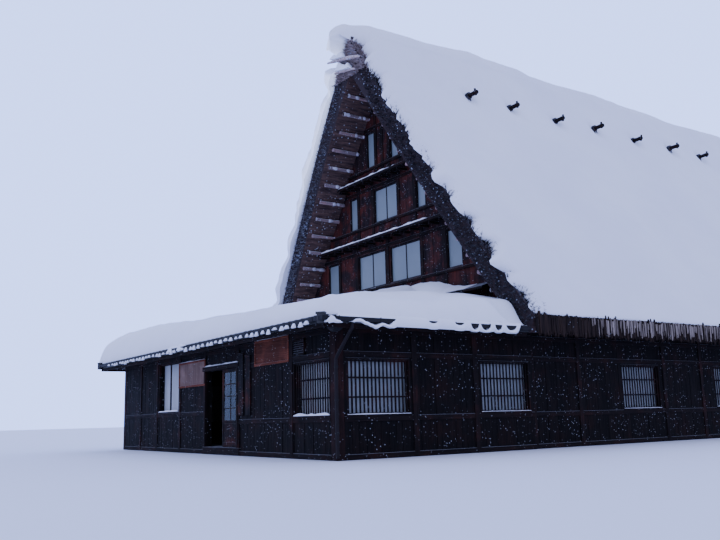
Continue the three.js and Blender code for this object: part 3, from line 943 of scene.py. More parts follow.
@dataclass(frozen=True)
class GlassFinish(Finish):
    """Clear window glass with a green-blue cast."""

    tint: Rgb = (0.22, 0.36, 0.37)
    clearness: float = 0.8

    def paint(self, brush: Brush) -> None:
        """Sets clear glass with a faint film of dust.

        Args:
            brush: The brush of its material.
        """
        at = brush.place()
        film = brush.patches(at, 2.5, 0.3, 0.8)
        clear = tuple(self.clearness * part for part in self.tint)
        color = brush.mix(film, clear, self.tint)
        brush.coat({"Base Color": color, "Transmission Weight": 1.0, "Roughness": 0.06, "IOR": 1.2})


class Pattern:
    """A geometry node tree that repeats a shape, used through a modifier and then made plain.

    Subclasses give the tree's name and inputs, and wire it in `copies`.
    """

    name = "pattern"
    knobs: tuple[Knob, ...] = ()

    def __init__(self) -> None:
        """Builds the tree."""
        shared = (
            Knob("Geometry", GEOMETRY),
            Knob("Shape", "NodeSocketObject"),
            Knob("Seed", "NodeSocketInt"),
            Knob("Finish", "NodeSocketMaterial"),
        )
        outputs = [Knob("Geometry", GEOMETRY)]
        sketch, given, result = new_tree(self.name, "GeometryNodeTree", (*shared, *self.knobs), outputs)
        self.sketch, self.given = sketch, given
        shape = sketch.value("GeometryNodeObjectInfo", {"Object": given["Shape"]}, "Geometry")
        tone = {"Geometry": self.copies(shape), "Name": TONE, "Value": self.random(0.0, 1.0, 7)}
        toned = sketch.value("GeometryNodeStoreNamedAttribute", tone, data_type="FLOAT", domain="INSTANCE")
        real = sketch.value("GeometryNodeRealizeInstances", {"Geometry": toned})
        dressed = sketch.value("GeometryNodeSetMaterial", {"Geometry": real, "Material": given["Finish"]})
        sketch.fill(result, {"Geometry": dressed})

    def copies(self, shape: bpy.types.NodeSocket) -> bpy.types.NodeSocket:
        """Wires the instances of the shape."""
        raise NotImplementedError

    def random(self, low: Any, high: Any, shift: int) -> bpy.types.NodeSocket:
        """A random value for each copy, with a seed of its own.

        Args:
            low: The lowest value.
            high: The highest value, a vector where a vector is wanted.
            shift: What is added to the tree's seed.

        Returns:
            The random value.
        """
        if isinstance(high, bpy.types.NodeSocket):
            kind = "FLOAT_VECTOR" if high.type == "VECTOR" else "FLOAT"
        else:
            kind = "FLOAT"
        seed = self.sketch.value("ShaderNodeMath", {0: self.given["Seed"], 1: float(shift)}, operation="ADD")
        inputs = {"Min": low, "Max": high, "Seed": seed}
        return self.sketch.value("FunctionNodeRandomValue", inputs, "Value", data_type=kind)

    def run(self, name: str, shape: Draft, finish: bpy.types.Material, **values: Any) -> bpy.types.Object:
        """Repeats a shape and gives the copies as one plain mesh.

        Args:
            name: The new piece's name.
            shape: The shape to repeat, at the origin.
            finish: The material of the copies.
            **values: The tree's inputs by name, with _ for a space; `on` is the surface it works on.

        Returns:
            The new piece.
        """
        base = values.pop("on", None) or Draft()
        piece = base.piece(name)
        pattern = shape.piece(f"{name}_shape")
        modifier = piece.modifiers.new(self.name, "NODES")
        modifier.node_group = self.sketch.tree
        given = {key.replace("_", " ").title(): value for key, value in values.items()}
        given.update(Shape=pattern, Finish=finish)
        for item in self.sketch.tree.interface.items_tree:
            if item.in_out == "INPUT" and item.name in given:
                modifier[item.identifier] = given[item.name]
        settle(piece)
        bpy.data.objects.remove(pattern)
        return piece


class Row(Pattern):
    """Copies in a straight row, each a little off in place and size."""

    name = "row_of_pieces"
    knobs = (
        Knob("Count", "NodeSocketInt", 2),
        Knob("Start", VECTOR),
        Knob("Step", VECTOR),
        Knob("Stray", VECTOR),
        Knob("Smallest", VECTOR, (1.0, 1.0, 1.0)),
        Knob("Largest", VECTOR, (1.0, 1.0, 1.0)),
    )

    def copies(self, shape: bpy.types.NodeSocket) -> bpy.types.NodeSocket:
        """Wires a line of points with a copy on each.

        Args:
            shape: The shape's geometry.

        Returns:
            The instances.
        """
        given, sketch = self.given, self.sketch
        ends = {"Count": given["Count"], "Start Location": given["Start"], "Offset": given["Step"]}
        line = sketch.value("GeometryNodeMeshLine", ends, mode="OFFSET")
        back = sketch.value("ShaderNodeVectorMath", {0: given["Stray"], "Scale": -1.0}, operation="SCALE")
        stray = self.random(back, given["Stray"], 1)
        points = sketch.value("GeometryNodeSetPosition", {"Geometry": line, "Offset": stray})
        size = self.random(given["Smallest"], given["Largest"], 2)
        inputs = {"Points": points, "Instance": shape, "Scale": size}
        return sketch.value("GeometryNodeInstanceOnPoints", inputs)


class Bristles(Pattern):
    """Tufts standing on a surface, leaning the way that its reeds lie."""

    name = "bristles"
    knobs = (
        Knob("Density", FLOAT, 10.0),
        Knob("Lean", VECTOR),
        Knob("Unrest", VECTOR),
        Knob("Smallest", VECTOR, (1.0, 1.0, 1.0)),
        Knob("Largest", VECTOR, (1.0, 1.0, 1.0)),
    )

    def copies(self, shape: bpy.types.NodeSocket) -> bpy.types.NodeSocket:
        """Wires scattered points with a leaning copy on each.

        Args:
            shape: The tuft's geometry.

        Returns:
            The instances.
        """
        given, sketch = self.given, self.sketch
        points = sketch.add(
            "GeometryNodeDistributePointsOnFaces",
            {"Mesh": given["Geometry"], "Density": given["Density"], "Seed": given["Seed"]},
        )
        back = sketch.value("ShaderNodeVectorMath", {0: given["Unrest"], "Scale": -1.0}, operation="SCALE")
        unrest = self.random(back, given["Unrest"], 3)
        lean = sketch.value("ShaderNodeVectorMath", {0: given["Lean"], 1: unrest}, operation="ADD")
        turn = sketch.value("FunctionNodeAlignRotationToVector", {"Vector": lean}, axis="Z")
        inputs = {
            "Points": points.outputs["Points"],
            "Instance": shape,
            "Rotation": turn,
            "Scale": self.random(given["Smallest"], given["Largest"], 4),
        }
        return sketch.value("GeometryNodeInstanceOnPoints", inputs)


@dataclass
class Workshop:
    """What every sub-assembly builds with: finishes, shared groups and patterns."""

    groups: SharedGroups = field(default_factory=SharedGroups)
    row: Row = field(default_factory=Row)
    bristles: Bristles = field(default_factory=Bristles)
    snow: Finish = SnowFinish("snow_cover", Slot.SNOW)
    # painted light: this snow's lip glows with an emission on its underside
    lip_snow: Finish = LipSnowFinish("roof_snow_cover", Slot.SNOW)
    boards: Finish = WoodFinish(
        "gable_boards", Slot.BOARDS, dark=(0.006, 0.005, 0.007), light=(0.030, 0.015, 0.015),
        worn=(0.09, 0.019, 0.013), wear=(0.42, 0.62), flecks=0.34, lying=0.4
    )
    low_boards: Finish = WoodFinish(
        "low_boards", Slot.BOARDS, dark=(0.0025, 0.0022, 0.0026), light=(0.007, 0.0045, 0.0045),
        worn=(0.013, 0.005, 0.004), flecks=0.34, lying=0.3
    )
    timber: Finish = WoodFinish(
        "upright_timber", Slot.TIMBER, dark=(0.004, 0.003, 0.004), light=(0.013, 0.008, 0.007),
        worn=(0.032, 0.010, 0.008), flecks=0.3, lying=0.3
    )
    beams_x: Finish = WoodFinish(
        "timber_across", Slot.TIMBER, dark=(0.004, 0.003, 0.004), light=(0.012, 0.007, 0.006),
        worn=(0.024, 0.008, 0.006), along=Axis.X, flecks=0.3, lying=0.3
    )
    beams_y: Finish = WoodFinish(
        "timber_lengthways", Slot.TIMBER, dark=(0.004, 0.003, 0.004), light=(0.012, 0.007, 0.006),
        worn=(0.024, 0.008, 0.006), along=Axis.Y, flecks=0.3, lying=0.3
    )
    # painted light: the smoked poles' colours are lifted far above the other timber's, lifting the shade
    # under the roof
    soffit_wood: Finish = WoodFinish(
        "smoked_poles", Slot.TIMBER, along=Axis.Y, dark=(0.1, 0.085, 0.1), light=(0.42, 0.3, 0.3),
        worn=(0.38, 0.22, 0.2), flecks=0.6, snow=(0.6, 0.6, 0.65)
    )
    # painted shade: the snow blown onto the poles under the roof is painted much greyer than the other snow
    soffit_snow: Finish = SnowFinish(
        "snow_under_the_roof", Slot.SNOW, lit=(0.62, 0.6, 0.66), shaded=(0.34, 0.32, 0.36)
    )
    verge: Finish = ReedFinish(
        "verge_reeds", Slot.THATCH, dark=(0.014, 0.014, 0.019), light=(0.082, 0.079, 0.096),
        flecks=0.5, lying=0.1
    )
    blown_verge: Finish = ReedFinish(
        "blown_verge_reeds", Slot.THATCH, dark=(0.066, 0.064, 0.08), light=(0.27, 0.265, 0.29),
        flecks=0.95, lying=0.25
    )
    eave: Finish = ReedFinish(
        "eave_reeds", Slot.THATCH, dark=(0.006, 0.0045, 0.005), light=(0.044, 0.027, 0.021),
        stripes=(9, 14, 0.8), under=(0.05, 0.028, 0.02), lying=0.0
    )
    eave_tips: Finish = ReedFinish(
        "eave_tips", Slot.THATCH, dark=(0.04, 0.03, 0.026), light=(0.62, 0.52, 0.46), stripes=(9, 14, 0.8),
        under=(0.3, 0.22, 0.18), lying=0.0
    )
    # painted light: the straw's colours are lifted well above straw's own, to offset the self-shadow of its
    # tufts and the low light at the peak
    straw: Finish = ReedFinish(
        "ridge_straw", Slot.THATCH, dark=(0.22, 0.18, 0.18), light=(0.85, 0.68, 0.63), stripes=(16, 4, 16),
        under=(0.65, 0.48, 0.44), flecks=0.85
    )
    # under: the reeds' brown underside, lifted as painted light in the shade under the roof
    thatch: Finish = ReedFinish(
        "thatch_body", Slot.THATCH, dark=(0.032, 0.022, 0.024), light=(0.048, 0.045, 0.053),
        stripes=(14, 1.6, 14), under=(0.46, 0.26, 0.205), flecks=0.48
    )
    paper: Finish = PaperFinish("window_paper", Slot.SHOJI)
    dim_paper: Finish = PaperFinish(
        "low_window_paper", Slot.SHOJI, pale=(0.33, 0.355, 0.37), deep=(0.24, 0.27, 0.285)
    )
    # painted light: the front right window's paper is painted lighter than the other windows' paper, lifting
    # the shade it lies in
    front_paper: Finish = PaperFinish(
        "front_window_paper", Slot.SHOJI, pale=(0.47, 0.49, 0.48), deep=(0.36, 0.38, 0.39)
    )
    corner_timber: Finish = WoodFinish(
        "corner_timber", Slot.TIMBER, dark=(0.008, 0.004, 0.004), light=(0.03, 0.011, 0.010),
        worn=(0.055, 0.016, 0.013), flecks=0.3, lying=0.3
    )
    entry_paper: Finish = PaperFinish(
        "entry_window_paper", Slot.SHOJI, pale=(0.5, 0.51, 0.51), deep=(0.4, 0.41, 0.42)
    )
    tiles: Finish = TileFinish("smoked_tiles", Slot.TILES)
    metal: Finish = MetalFinish("gutter_paint", Slot.GUTTER)
    pipe: Finish = MetalFinish(
        "pipe_paint", Slot.GUTTER, fresh=(0.006, 0.004, 0.005), dull=(0.013, 0.009, 0.011)
    )
    sign: Finish = WoodFinish(
        "stained_board", Slot.SIGN, dark=(0.05, 0.016, 0.010), light=(0.19, 0.052, 0.028),
        worn=(0.24, 0.068, 0.038), along=Axis.X, flecks=0.3, lying=0.4
    )
    panel: Finish = WoodFinish(
        "pale_panel", Slot.SIGN, dark=(0.11, 0.065, 0.052), light=(0.34, 0.22, 0.18), worn=(0.38, 0.24, 0.2),
        flecks=0.3, lying=0.4
    )
    door: Finish = WoodFinish(
        "smoked_door", Slot.DOOR, dark=(0.004, 0.004, 0.005), light=(0.014, 0.011, 0.011),
        flecks=0.3, lying=0.3
    )
    glass: Finish = GlassFinish("door_glass", Slot.DOOR)

    def dress(
        self,
        piece: bpy.types.Object,
        finish: Finish,
        body: Body = Body.HOUSE,
        replaces: Sequence[str] = (),
    ) -> bpy.types.Object:
        """Gives a finished piece its material and body, and reports it.

        Args:
            piece: The piece, with its place in its mesh.
            finish: Its finish.
            body: The body that it rides on.
            replaces: The frame's nodes that it stands for.

        Returns:
            The piece.
        """
        piece.data.materials.clear()
        piece.data.materials.append(finish.material(self.groups))
        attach(piece, body.value)
        if replaces:
            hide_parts(*replaces)
        piece.data.calc_loop_triangles()
        log.info("%s: %d triangles", piece.name, len(piece.data.loop_triangles))
        return piece

    def paint_node(self, node: bpy.types.Object, finish: Finish) -> None:
        """Gives a node of the frame its finish.

        Args:
            node: The node.
            finish: Its finish.
        """
        material = finish.material(self.groups)
        if node.material_slots:
            for slot in node.material_slots:
                slot.material = material
        else:
            node.data.materials.append(material)

    def rows(
        self, name: str, shape: Draft, finish: Finish, runs: Sequence[dict[str, Any]]
    ) -> bpy.types.Object:
        """Several rows of one shape, joined into one piece.

        Args:
            name: The piece's name.
            shape: The shape to repeat.
            finish: Its finish.
            runs: The pattern's inputs for each row.

        Returns:
            The piece, not yet dressed.
        """
        material = finish.material(self.groups)
        parts = [self.row.run(f"{name}_{i}", shape, material, seed=i, **run) for i, run in enumerate(runs)]
        return merge(name, parts)


@dataclass(frozen=True)
class Uneven:
    """How far the copies of a row stray from their places, and their smallest and largest sizes."""

    stray: Place
    smallest: Place = (1.0, 1.0, 1.0)
    largest: Place = (1.0, 1.0, 1.0)


@dataclass(frozen=True)
class RoofForm:
    """The shape of the thatch: its outer line seen from the front, its two cut ends and its underside."""

    eave_x: float
    eave_z: float
    ridge_z: float
    length: float
    sag: float = 0.068
    thickness: float = 0.65
    reach_low: float = 0.634
    reach_lean: float = 1.449
    reach_ease: float = 0.75
    soffit_share: float = 0.749

    @classmethod
    def from_frame(cls) -> RoofForm:
        """The form with its outer sizes read from the frame.

        Returns:
            The form.
        """
        eave_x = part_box("thatch_right")[1].x
        eave_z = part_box("roof_snow_right")[0].z
        return cls(eave_x, eave_z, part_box("ridge_cap")[1].z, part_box("long_wall_right")[1].y)

    @property
    def outward(self) -> Vector:
        """The direction out of the right slope."""
        return Vector((self.ridge_z - self.eave_z, 0, self.eave_x)).normalized()

    def share(self, z: float) -> float:
        """How far up the slope a height is, from 0 at the eave to 1 at the ridge."""
        return (z - self.eave_z) / (self.ridge_z - self.eave_z)

    def surface(self, share: float, side: Side = Side.RIGHT, lift: float = 0.0) -> Vector:
        """A point over the slope's outer line, at Y 0.

        Args:
            share: How far up the slope it is.
            side: The slope.
            lift: How far it stands out of the thatch.

        Returns:
            The point.
        """
        x = self.eave_x * (1 - share) - 4 * self.sag * share * (1 - share)
        point = Vector((x, 0, blend(self.eave_z, self.ridge_z, share))) + self.outward * lift
        return Vector((side.value * point.x, 0, point.z))

    def end_y(self, end: End, share: float, back: float = 0.0) -> float:
        """Where the thatch ends along the ridge at a height, or a little back from there.

        Args:
            end: The end of the house.
            share: How far up the slope the height is.
            back: How far back from the end.

        Returns:
            The place along the ridge.
        """
        s = min(max(share, 0.0), 1.0)
        reach = self.reach_low + self.reach_lean * s - self.reach_ease * s * s - back
        return -reach if end is End.FRONT else self.length + reach

    def soffit_z(self, x: float) -> float:
        """The height of the thatch's underside at a distance from the middle.

        Args:
            x: The distance from the middle.

        Returns:
            The height.
        """
        low, high = (self.surface(share, lift=-self.thickness) for share in (0.0, self.soffit_share))
        slope = (high.z - low.z) / (low.x - high.x)
        return high.z + (high.x - abs(x)) * slope

    def soffit_x(self, z: float) -> float:
        """How far from the middle the thatch's underside is at a height."""
        top, fall = self.soffit_z(0.0), self.soffit_z(0.0) - self.soffit_z(1.0)
        return (top - z) / fall


def wave(point: Vector, size: float, seed: float = 0.0) -> float:
    """A smooth random value between about -1 and 1 for a place, with waves of a size."""
    return noise.noise(point / size + Vector((seed, 0.37 * seed, 1.7 * seed)))


def waves(point: Vector, table: Waves, start: float = 0.0) -> float:
    """A start with several waves added, each given by its height, its size and its seed."""
    return sum((height * wave(point, size, seed) for height, size, seed in table), start)


@dataclass
class RoofSnow:
    """One deep blanket over both slopes and the ridge.

    Each row of an edge table gives a share of the slope, how far behind the thatch's end the snow starts
    there, how wide its rounded rim is, and how much deeper than usual the snow is close behind the rim. The
    hollows are those round the needle poles.
    """

    form: RoofForm
    spacing: float = 0.13
    columns: int = 190
    rim_columns: int = 9
    bed: float = 0.004
    crest: tuple[tuple[float, float, float], ...] = (
        (1.0, 0.0, 0.0),
        (0.985, 0.22, -0.06),
        (0.973, 0.45, -0.24),
        (0.96, 0.68, -0.60),
    )
    lifts: tuple[Span, ...] = (
        (0.95, 0.5), (0.9, 0.42), (0.86, 0.38), (0.82, 0.36), (0.7, 0.33), (0.4, 0.31),
        (0.15, 0.3), (0.05, 0.21), (0.01, 0.12), (0.0, 0.06),
    )
    ridge_line: tuple[Span, ...] = (
        (-1.9, 13.52), (-1.3, 13.7), (-0.6, 13.8), (0.0, 13.81), (1.5, 13.79), (2.9, 13.84), (3.7, 13.94),
        (4.5, 13.82), (6.0, 13.77), (6.9, 13.68), (9.6, 13.68), (12.6, 13.56), (17.0, 13.36), (19.6, 13.33)
    )
    left_edge: tuple[tuple[float, float, float, float], ...] = (
        (0.0, -0.34, 0.3, 1.1), (0.06, -0.3, 0.3, 0.9), (0.13, -0.18, 0.25, 0.6), (0.6, -0.16, 0.25, 0.6),
        (0.83, -0.17, 0.25, 0.5), (0.87, -0.28, 0.3, 0.9), (0.895, -0.28, 0.3, 0.9), (0.908, 0.08, 0.3, 0.4),
        (0.935, 0.1, 0.3, 0.5), (0.947, -0.5, 0.4, 0.6), (0.97, -0.62, 0.4, 0.6), (0.985, -0.7, 0.45, 0.5),
        (1.0, -0.4, 0.5, 0.0)
    )
    right_edge: tuple[tuple[float, float, float, float], ...] = (
        (0.0, 0.1, 0.35, 0.0), (0.02, 0.06, 0.35, 0.0), (0.05, 0.12, 0.35, 0.0), (0.08, 0.02, 0.3, 0.0),
        (0.11, 0.0, 0.3, 0.0), (0.139, -0.2, 0.3, 0.0), (0.17, 0.0, 0.3, 0.0), (0.204, 0.22, 0.3, 0.0),
        (0.237, -0.02, 0.3, 0.0), (0.27, 0.07, 0.3, 0.0), (0.304, -0.15, 0.3, 0.0), (0.34, -0.08, 0.3, 0.0),
        (0.375, 0.09, 0.3, 0.0), (0.41, -0.18, 0.3, 0.0), (0.447, 0.04, 0.3, 0.0), (0.483, 0.06, 0.3, 0.0),
        (0.52, -0.14, 0.3, 0.0), (0.565, -0.06, 0.3, 0.0), (0.605, 0.07, 0.3, 0.0), (0.646, -0.04, 0.3, 0.0),
        (0.73, 0.0, 0.3, 0.0), (0.771, 0.08, 0.3, 0.0), (0.82, 0.06, 0.3, 0.0), (0.866, 0.04, 0.3, 0.0),
        (0.91, 0.3, 0.3, 0.0),
        (0.96, 0.34, 0.35, 0.0), (0.978, 0.2, 0.4, 0.0), (0.99, -0.1, 0.45, 0.0), (1.0, -0.4, 0.5, 0.0)
    )
    swell_reach: Span = (0.3, 1.5)
    ragged: Waves = ((1.0, 0.9, 3.0), (0.6, 0.3, 8.0), (0.9, 0.17, 11.0))
    ragged_depth: float = 0.13
    ragged_until: Span = (0.95, 0.98)
    lumps: Waves = ((1.0, 0.62, 17.0), (0.5, 0.28, 9.0))
    lump_depths: Span = (0.8, 0.7)
    lumps_until: Span = (0.83, 0.87)
    weather: Waves = ((0.13, 2.6, 1.0), (0.07, 0.8, 2.0), (0.03, 0.25, 5.0))
    weather_until: Span = (0.97, 1.0)
    crown: Span = (0.955, 1.0)
    back_edge: Span = (0.05, -0.2)
    back_rim: Span = (0.35, 0.7)
    low_ridge: float = 13.0
    hollow_width: float = 0.22
    hollow_fall: float = 0.5
    hollow_sunk: float = 0.08
    hollow_depth: float = 0.42
    hollow_end: float = 6.0

    def build(self, shop: Workshop) -> None:
        """Builds the blanket and lets it stand for the frame's snow.

        Args:
            shop: What it builds with.
        """
        left = [self._row(Side.LEFT, place) for place in self._places()]
        right = [self._row(Side.RIGHT, place) for place in self._places()[1:]]
        rows = [self._rim(Side.LEFT), *reversed(left), *right, self._rim(Side.RIGHT)]
        draft = Draft()
        draft.blanket(rows)
        piece = draft.piece("roof_snow_cover", crease=70)
        shop.dress(piece, shop.lip_snow, replaces=("roof_snow_left", "roof_snow_right"))

    def _places(self) -> list[float]:
        """Places of the rows between the knots, about evenly spaced down the slope.

        Returns:
            The places, whole numbers at the knots.
        """
        bases = [self.form.surface(share) for share in self._shares()]
        places = []
        for i, (a, b) in enumerate(zip(bases, bases[1:])):
            count = max(3, round((a - b).length / self.spacing))
            places += [i + k / count for k in range(count)]
        return [*places, float(len(bases) - 1)]

    def _shares(self) -> list[float]:
        """How far up the slope each knot stands on the thatch."""
        return [share for share, *_ in (*self.crest, *self.lifts)]

    def _base(self, place: float) -> tuple[Vector, float]:
        """The bed of a row on the right slope, and how far up the slope it lies.

        Args:
            place: Where the row lies between the knots.

        Returns:
            The bed's point at Y 0, and its share of the slope.
        """
        shares = self._shares()
        i = min(int(place), len(shares) - 2)
        share = blend(shares[i], shares[i + 1], place - i)
        return self.form.surface(share, lift=-self.bed), share

    def _over(self, place: float, ridge: float) -> Vector:
        """The snow's surface of a row on the right slope, for a height of the ridge.

        Args:
            place: Where the row lies between the knots.
            ridge: The height of the ridge's snow.

        Returns:
            The surface's point at Y 0.
        """
        knots = [Vector((x, 0, ridge + fall)) for _, x, fall in self.crest]
        knots += [self.form.surface(share, lift=lift) for share, lift in self.lifts]
        return smooth_path(knots, [place / (len(knots) - 1)])[0]

    def _edge(self, side: Side, share: float) -> tuple[float, float, float]:
        """How far back the snow starts, how wide its front rim is and how much deeper it is behind that.

        Args:
            side: The slope.
            share: How far up the slope it is.

        Returns:
            The three lengths, the last one as a share of the depth.
        """
        at = self.form.surface(share, side)
        back, width, swell = from_table(self.left_edge if side is Side.LEFT else self.right_edge, share)
        if side is Side.RIGHT:
            straight = 1 - ease(*self.ragged_until, share)
            return back + self.ragged_depth * waves(at, self.ragged) * straight, width, swell
        lumps = waves(at, self.lumps)
        far, deep = self.lump_depths
        back *= 1 + far * lumps * (1 - ease(*self.lumps_until, share))
        return back, width, swell * (1 + deep * lumps)

    def _row(self, side: Side, place: float) -> list[Vector]:
        """One row of the surface.

        Args:
            side: The slope.
            place: Where the row lies between the knots.

        Returns:
            The row's points, from the front rim to the back rim.
        """
        base, share = self._base(place)
        low, high = self._over(place, self.low_ridge), self._over(place, self.low_ridge + 1)
        edge, rim_front, swell = self._edge(side, share)
        front = self.form.end_y(End.FRONT, share, edge)
        crown = ease(*self.crown, share)
        back = self.form.end_y(End.BACK, share, blend(*self.back_edge, crown))
        rim_back = blend(*self.back_rim, crown)
        turns = [i / self.rim_columns * math.pi / 2 for i in range(self.rim_columns + 1)]
        steps = [(front + rim_front * (1 - math.cos(t)), math.sin(t)) for t in turns]
        inner = spread(steps[-1][0], back - rim_back, self.columns - 2 * self.rim_columns)
        steps += [(y, 1.0) for y in inner[1:-1]]
        steps += [(back - rim_back * (1 - math.cos(t)), math.sin(t)) for t in reversed(turns)]
        row = []
        for y, fullness in steps:
            over = low.lerp(high, from_table(self.ridge_line, y)[0] - self.low_ridge)
            deeper = 1 + swell * (1 - ease(*self.swell_reach, y - front))
            lift = (over - base) * (fullness * deeper * self._weathered(side, over, y, share))
            point = base + lift
            row.append(Vector((side.value * point.x, y, point.z)))
        return row

    def _weathered(self, side: Side, over: Vector, y: float, share: float) -> float:
        """How much of the snow's full depth lies at a place, with drifts and hollows.

        Args:
            side: The slope.
            over: The snow's surface there, at Y 0 on the right slope.
            y: The place along the ridge.
            share: How far up the slope it is.

        Returns:
            The share of the full depth.
        """
        depth = waves(Vector((side.value * over.x, y, over.z)), self.weather, 1.0)
        for pole_y, pole_z in POLES:
            drop = pole_z - over.z
            reach = self.hollow_width if drop < 0 else self.hollow_fall
            near = ((y - pole_y) / self.hollow_width) ** 2 + ((drop + self.hollow_sunk) / reach) ** 2
            if near < self.hollow_end:
                depth -= self.hollow_depth * math.exp(-near)
        return blend(depth, 1.0, ease(*self.weather_until, share))

    def _rim(self, side: Side) -> list[Vector]:
        """The lowest edge of the snow, on the thatch.

        Args:
            side: The slope.

        Returns:
            One point for each point of the row over it.
        """
        base, _ = self._base(float(len(self._shares()) - 1))
        last = self._row(side, float(len(self._shares()) - 1))
        return [Vector((side.value * base.x, p.y, base.z)) for p in last]


@dataclass(frozen=True)
class Scatter:
    """How tufts of reeds stand on a surface.

    `lean` points off the slope, off the gable and up, and `unrest` is how far single tufts stray from it.
    """

    length: float
    width: float
    density: float
    lean: Place
    unrest: Place
    seed: int
    smallest: Place = (0.6, 0.6, 0.5)
    largest: Place = (1.5, 1.5, 1.5)


@dataclass
class Reeds:
    """Reed ends: bristling on both cut ends of the thatch and hanging in a fringe from both eaves.

    A fringe layer is given by how far out and how far down it hangs, and a strip by the height and the share
    of its full width of each ring.
    """

    form: RoofForm
    cut: Scatter = Scatter(0.075, 0.009, 330.0, (0.1, 1.0, -0.25), (0.3, 0.1, 0.35), 3)
    edge: Scatter = Scatter(0.2, 0.014, 260.0, (0.8, 0.35, 0.15), (0.3, 0.4, 0.4), 9)
    straw_face: Scatter = Scatter(
        0.15, 0.012, 520.0, (0.0, 1.0, -0.25), (0.45, 0.2, 0.35), 21, (0.7, 0.7, 0.6), (1.3, 1.3, 1.5)
    )
    straw_edge: Scatter = Scatter(
        0.15, 0.012, 520.0, (0.7, 0.3, -0.2), (0.45, 0.2, 0.35), 22, (0.7, 0.7, 0.6), (1.3, 1.3, 1.5)
    )
    edge_width: float = 0.4
    inner_bare: float = 0.09
    cut_top: float = 1.06
    cut_taper: float = 0.3
    sections: int = 24
    straw_from: float = 0.86
    straw_to: float = 0.995
    straw_overlap: float = 0.02
    straw_sections: int = 9
    straw_width: float = 0.5
    reeds_in_tuft: int = 4
    tuft_spread: float = 1.6
    tuft_root: float = 0.25
    tuft_flare: float = 1.8
    tuft_tips: Span = (0.8, 1.5)
    tuft_seed: int = 11
    fringe_step: float = 0.052
    fringe_out: float = 0.02
    fringe_overlap: float = 1.25
    fringe_layers: tuple[Span, ...] = ((-0.02, 0.06), (0.0, 0.0), (0.03, 0.1))
    fringe: Uneven = Uneven((0.02, 0.015, 0.05), (0.9, 0.6, 0.75), (1.1, 1.5, 1.05))
    eave_in: float = 0.02
    eave_up: float = 0.02
    tip_steps: tuple[float, ...] = (0.1, 0.13, 0.19)
    tips_out: float = 0.075
    tips_down: float = 0.04
    tips_from: float = 2.0
    tips_shift: Span = (0.01, 0.4)
    tips: Uneven = Uneven((0.01, 0.5, 0.05), (0.9, 0.5, 0.25), (1.1, 2.0, 0.9))
    tip_half: float = 0.007
    strip_half: float = 0.012
    strip: tuple[Span, ...] = ((0.04, 0.6), (0.0, 1.0), (-0.3, 1.0), (-0.41, 0.75), (-0.47, 0.2))

    def build(self, shop: Workshop) -> None:
        """Builds the bristles of both ends and the fringes of both eaves.

        Args:
            shop: What it builds with.
        """
        for end in End:
            self._verge(shop, end)
            self._straw(shop, end)
        for side in Side:
            self._fringe(shop, side)

    def _tuft(self, length: float, width: float) -> Draft:
        """A few pointed reeds that stand along Z.

        Args:
            length: How long they are.
            width: How thick each is.

        Returns:
            The tuft.
        """
        chance = random.Random(self.tuft_seed)
        wide = self.tuft_spread
        tuft = Draft()
        for _ in range(self.reeds_in_tuft):
            x, y = chance.uniform(-wide, wide) * width, chance.uniform(-wide, wide) * width
            root = Vector((x, y, -self.tuft_root * length))
            tip = root * self.tuft_flare + Vector((0, 0, length * chance.uniform(*self.tuft_tips)))
            ring = [root + Vector((math.cos(t), math.sin(t), 0)) * width for t in (0.3, 2.4, 4.5)]
            tuft.add([*ring, tip], [(0, 2, 1), (0, 1, 3), (1, 2, 3), (2, 0, 3)])
        return tuft

    @staticmethod
    def _sheet(sections: Sequence[tuple[Vector, Vector]]) -> Draft:
        """An open sheet through pairs of points.

        Args:
            sections: The pairs, in order.

        Returns:
            The sheet.
        """
        sheet = Draft()
        faces = [(2 * i, 2 * i + 1, 2 * i + 3, 2 * i + 2) for i in range(len(sections) - 1)]
        sheet.add([p for pair in sections for p in pair], faces)
        return sheet

    def _scatter(
        self,
        shop: Workshop,
        name: str,
        sections: Sequence[tuple[Vector, Vector]],
        kind: Scatter,
        finish: Finish,
        out: Sequence[int],
        seed: int,
    ) -> bpy.types.Object:
        """Tufts on a sheet.

        Args:
            shop: What it builds with.
            name: The new piece's name.
            sections: The pairs of points that the sheet runs through.
            kind: How the tufts stand.
            finish: Their finish.
            out: The signs of the slope's and of the gable's outward directions.
            seed: The seed of their places.

        Returns:
            The tufts as one mesh.
        """
        x, y, z = kind.lean
        return shop.bristles.run(
            name, self._tuft(kind.length, kind.width), finish.material(shop.groups),
            on=self._sheet(sections), seed=seed, density=kind.density, lean=(x * out[0], y * out[1], z),
            unrest=kind.unrest, smallest=kind.smallest, largest=kind.largest
        )

    def _verge(self, shop: Workshop, end: End) -> None:
        """Bristles on one cut end of the thatch, with tufts along its outer edge.

        Args:
            shop: What it builds with.
            end: The end of the house.
        """
        for side in Side:
            finish = shop.blown_verge if side is Side.LEFT else shop.verge
            cut, edge = [], []
            for share in spread(0.0, self.straw_from + self.straw_overlap, self.sections):
                y = self.form.end_y(end, share)
                behind = self.form.end_y(end, share, self.edge_width)
                outer = self.form.surface(share, side)
                narrow = min(1.0, (self.cut_top - share) / self.cut_taper)
                inner = self.form.surface(share, side, -(self.form.thickness - self.inner_bare) * narrow)
                rim = Vector((outer.x, y, outer.z))
                cut.append((rim, Vector((inner.x, y, inner.z))))
                edge.append((rim, Vector((outer.x, behind, outer.z))))
            name = f"reeds_{end.name}_{side.name}".lower()
            out = (side.value, end.value)
            parts = [
                self._scatter(shop, f"{name}_{i}", sheet, kind, finish, out, kind.seed + side.value)
                for i, (sheet, kind) in enumerate(((cut, self.cut), (edge, self.edge)))
            ]
            shop.dress(merge(f"verge_{name}", parts), finish)

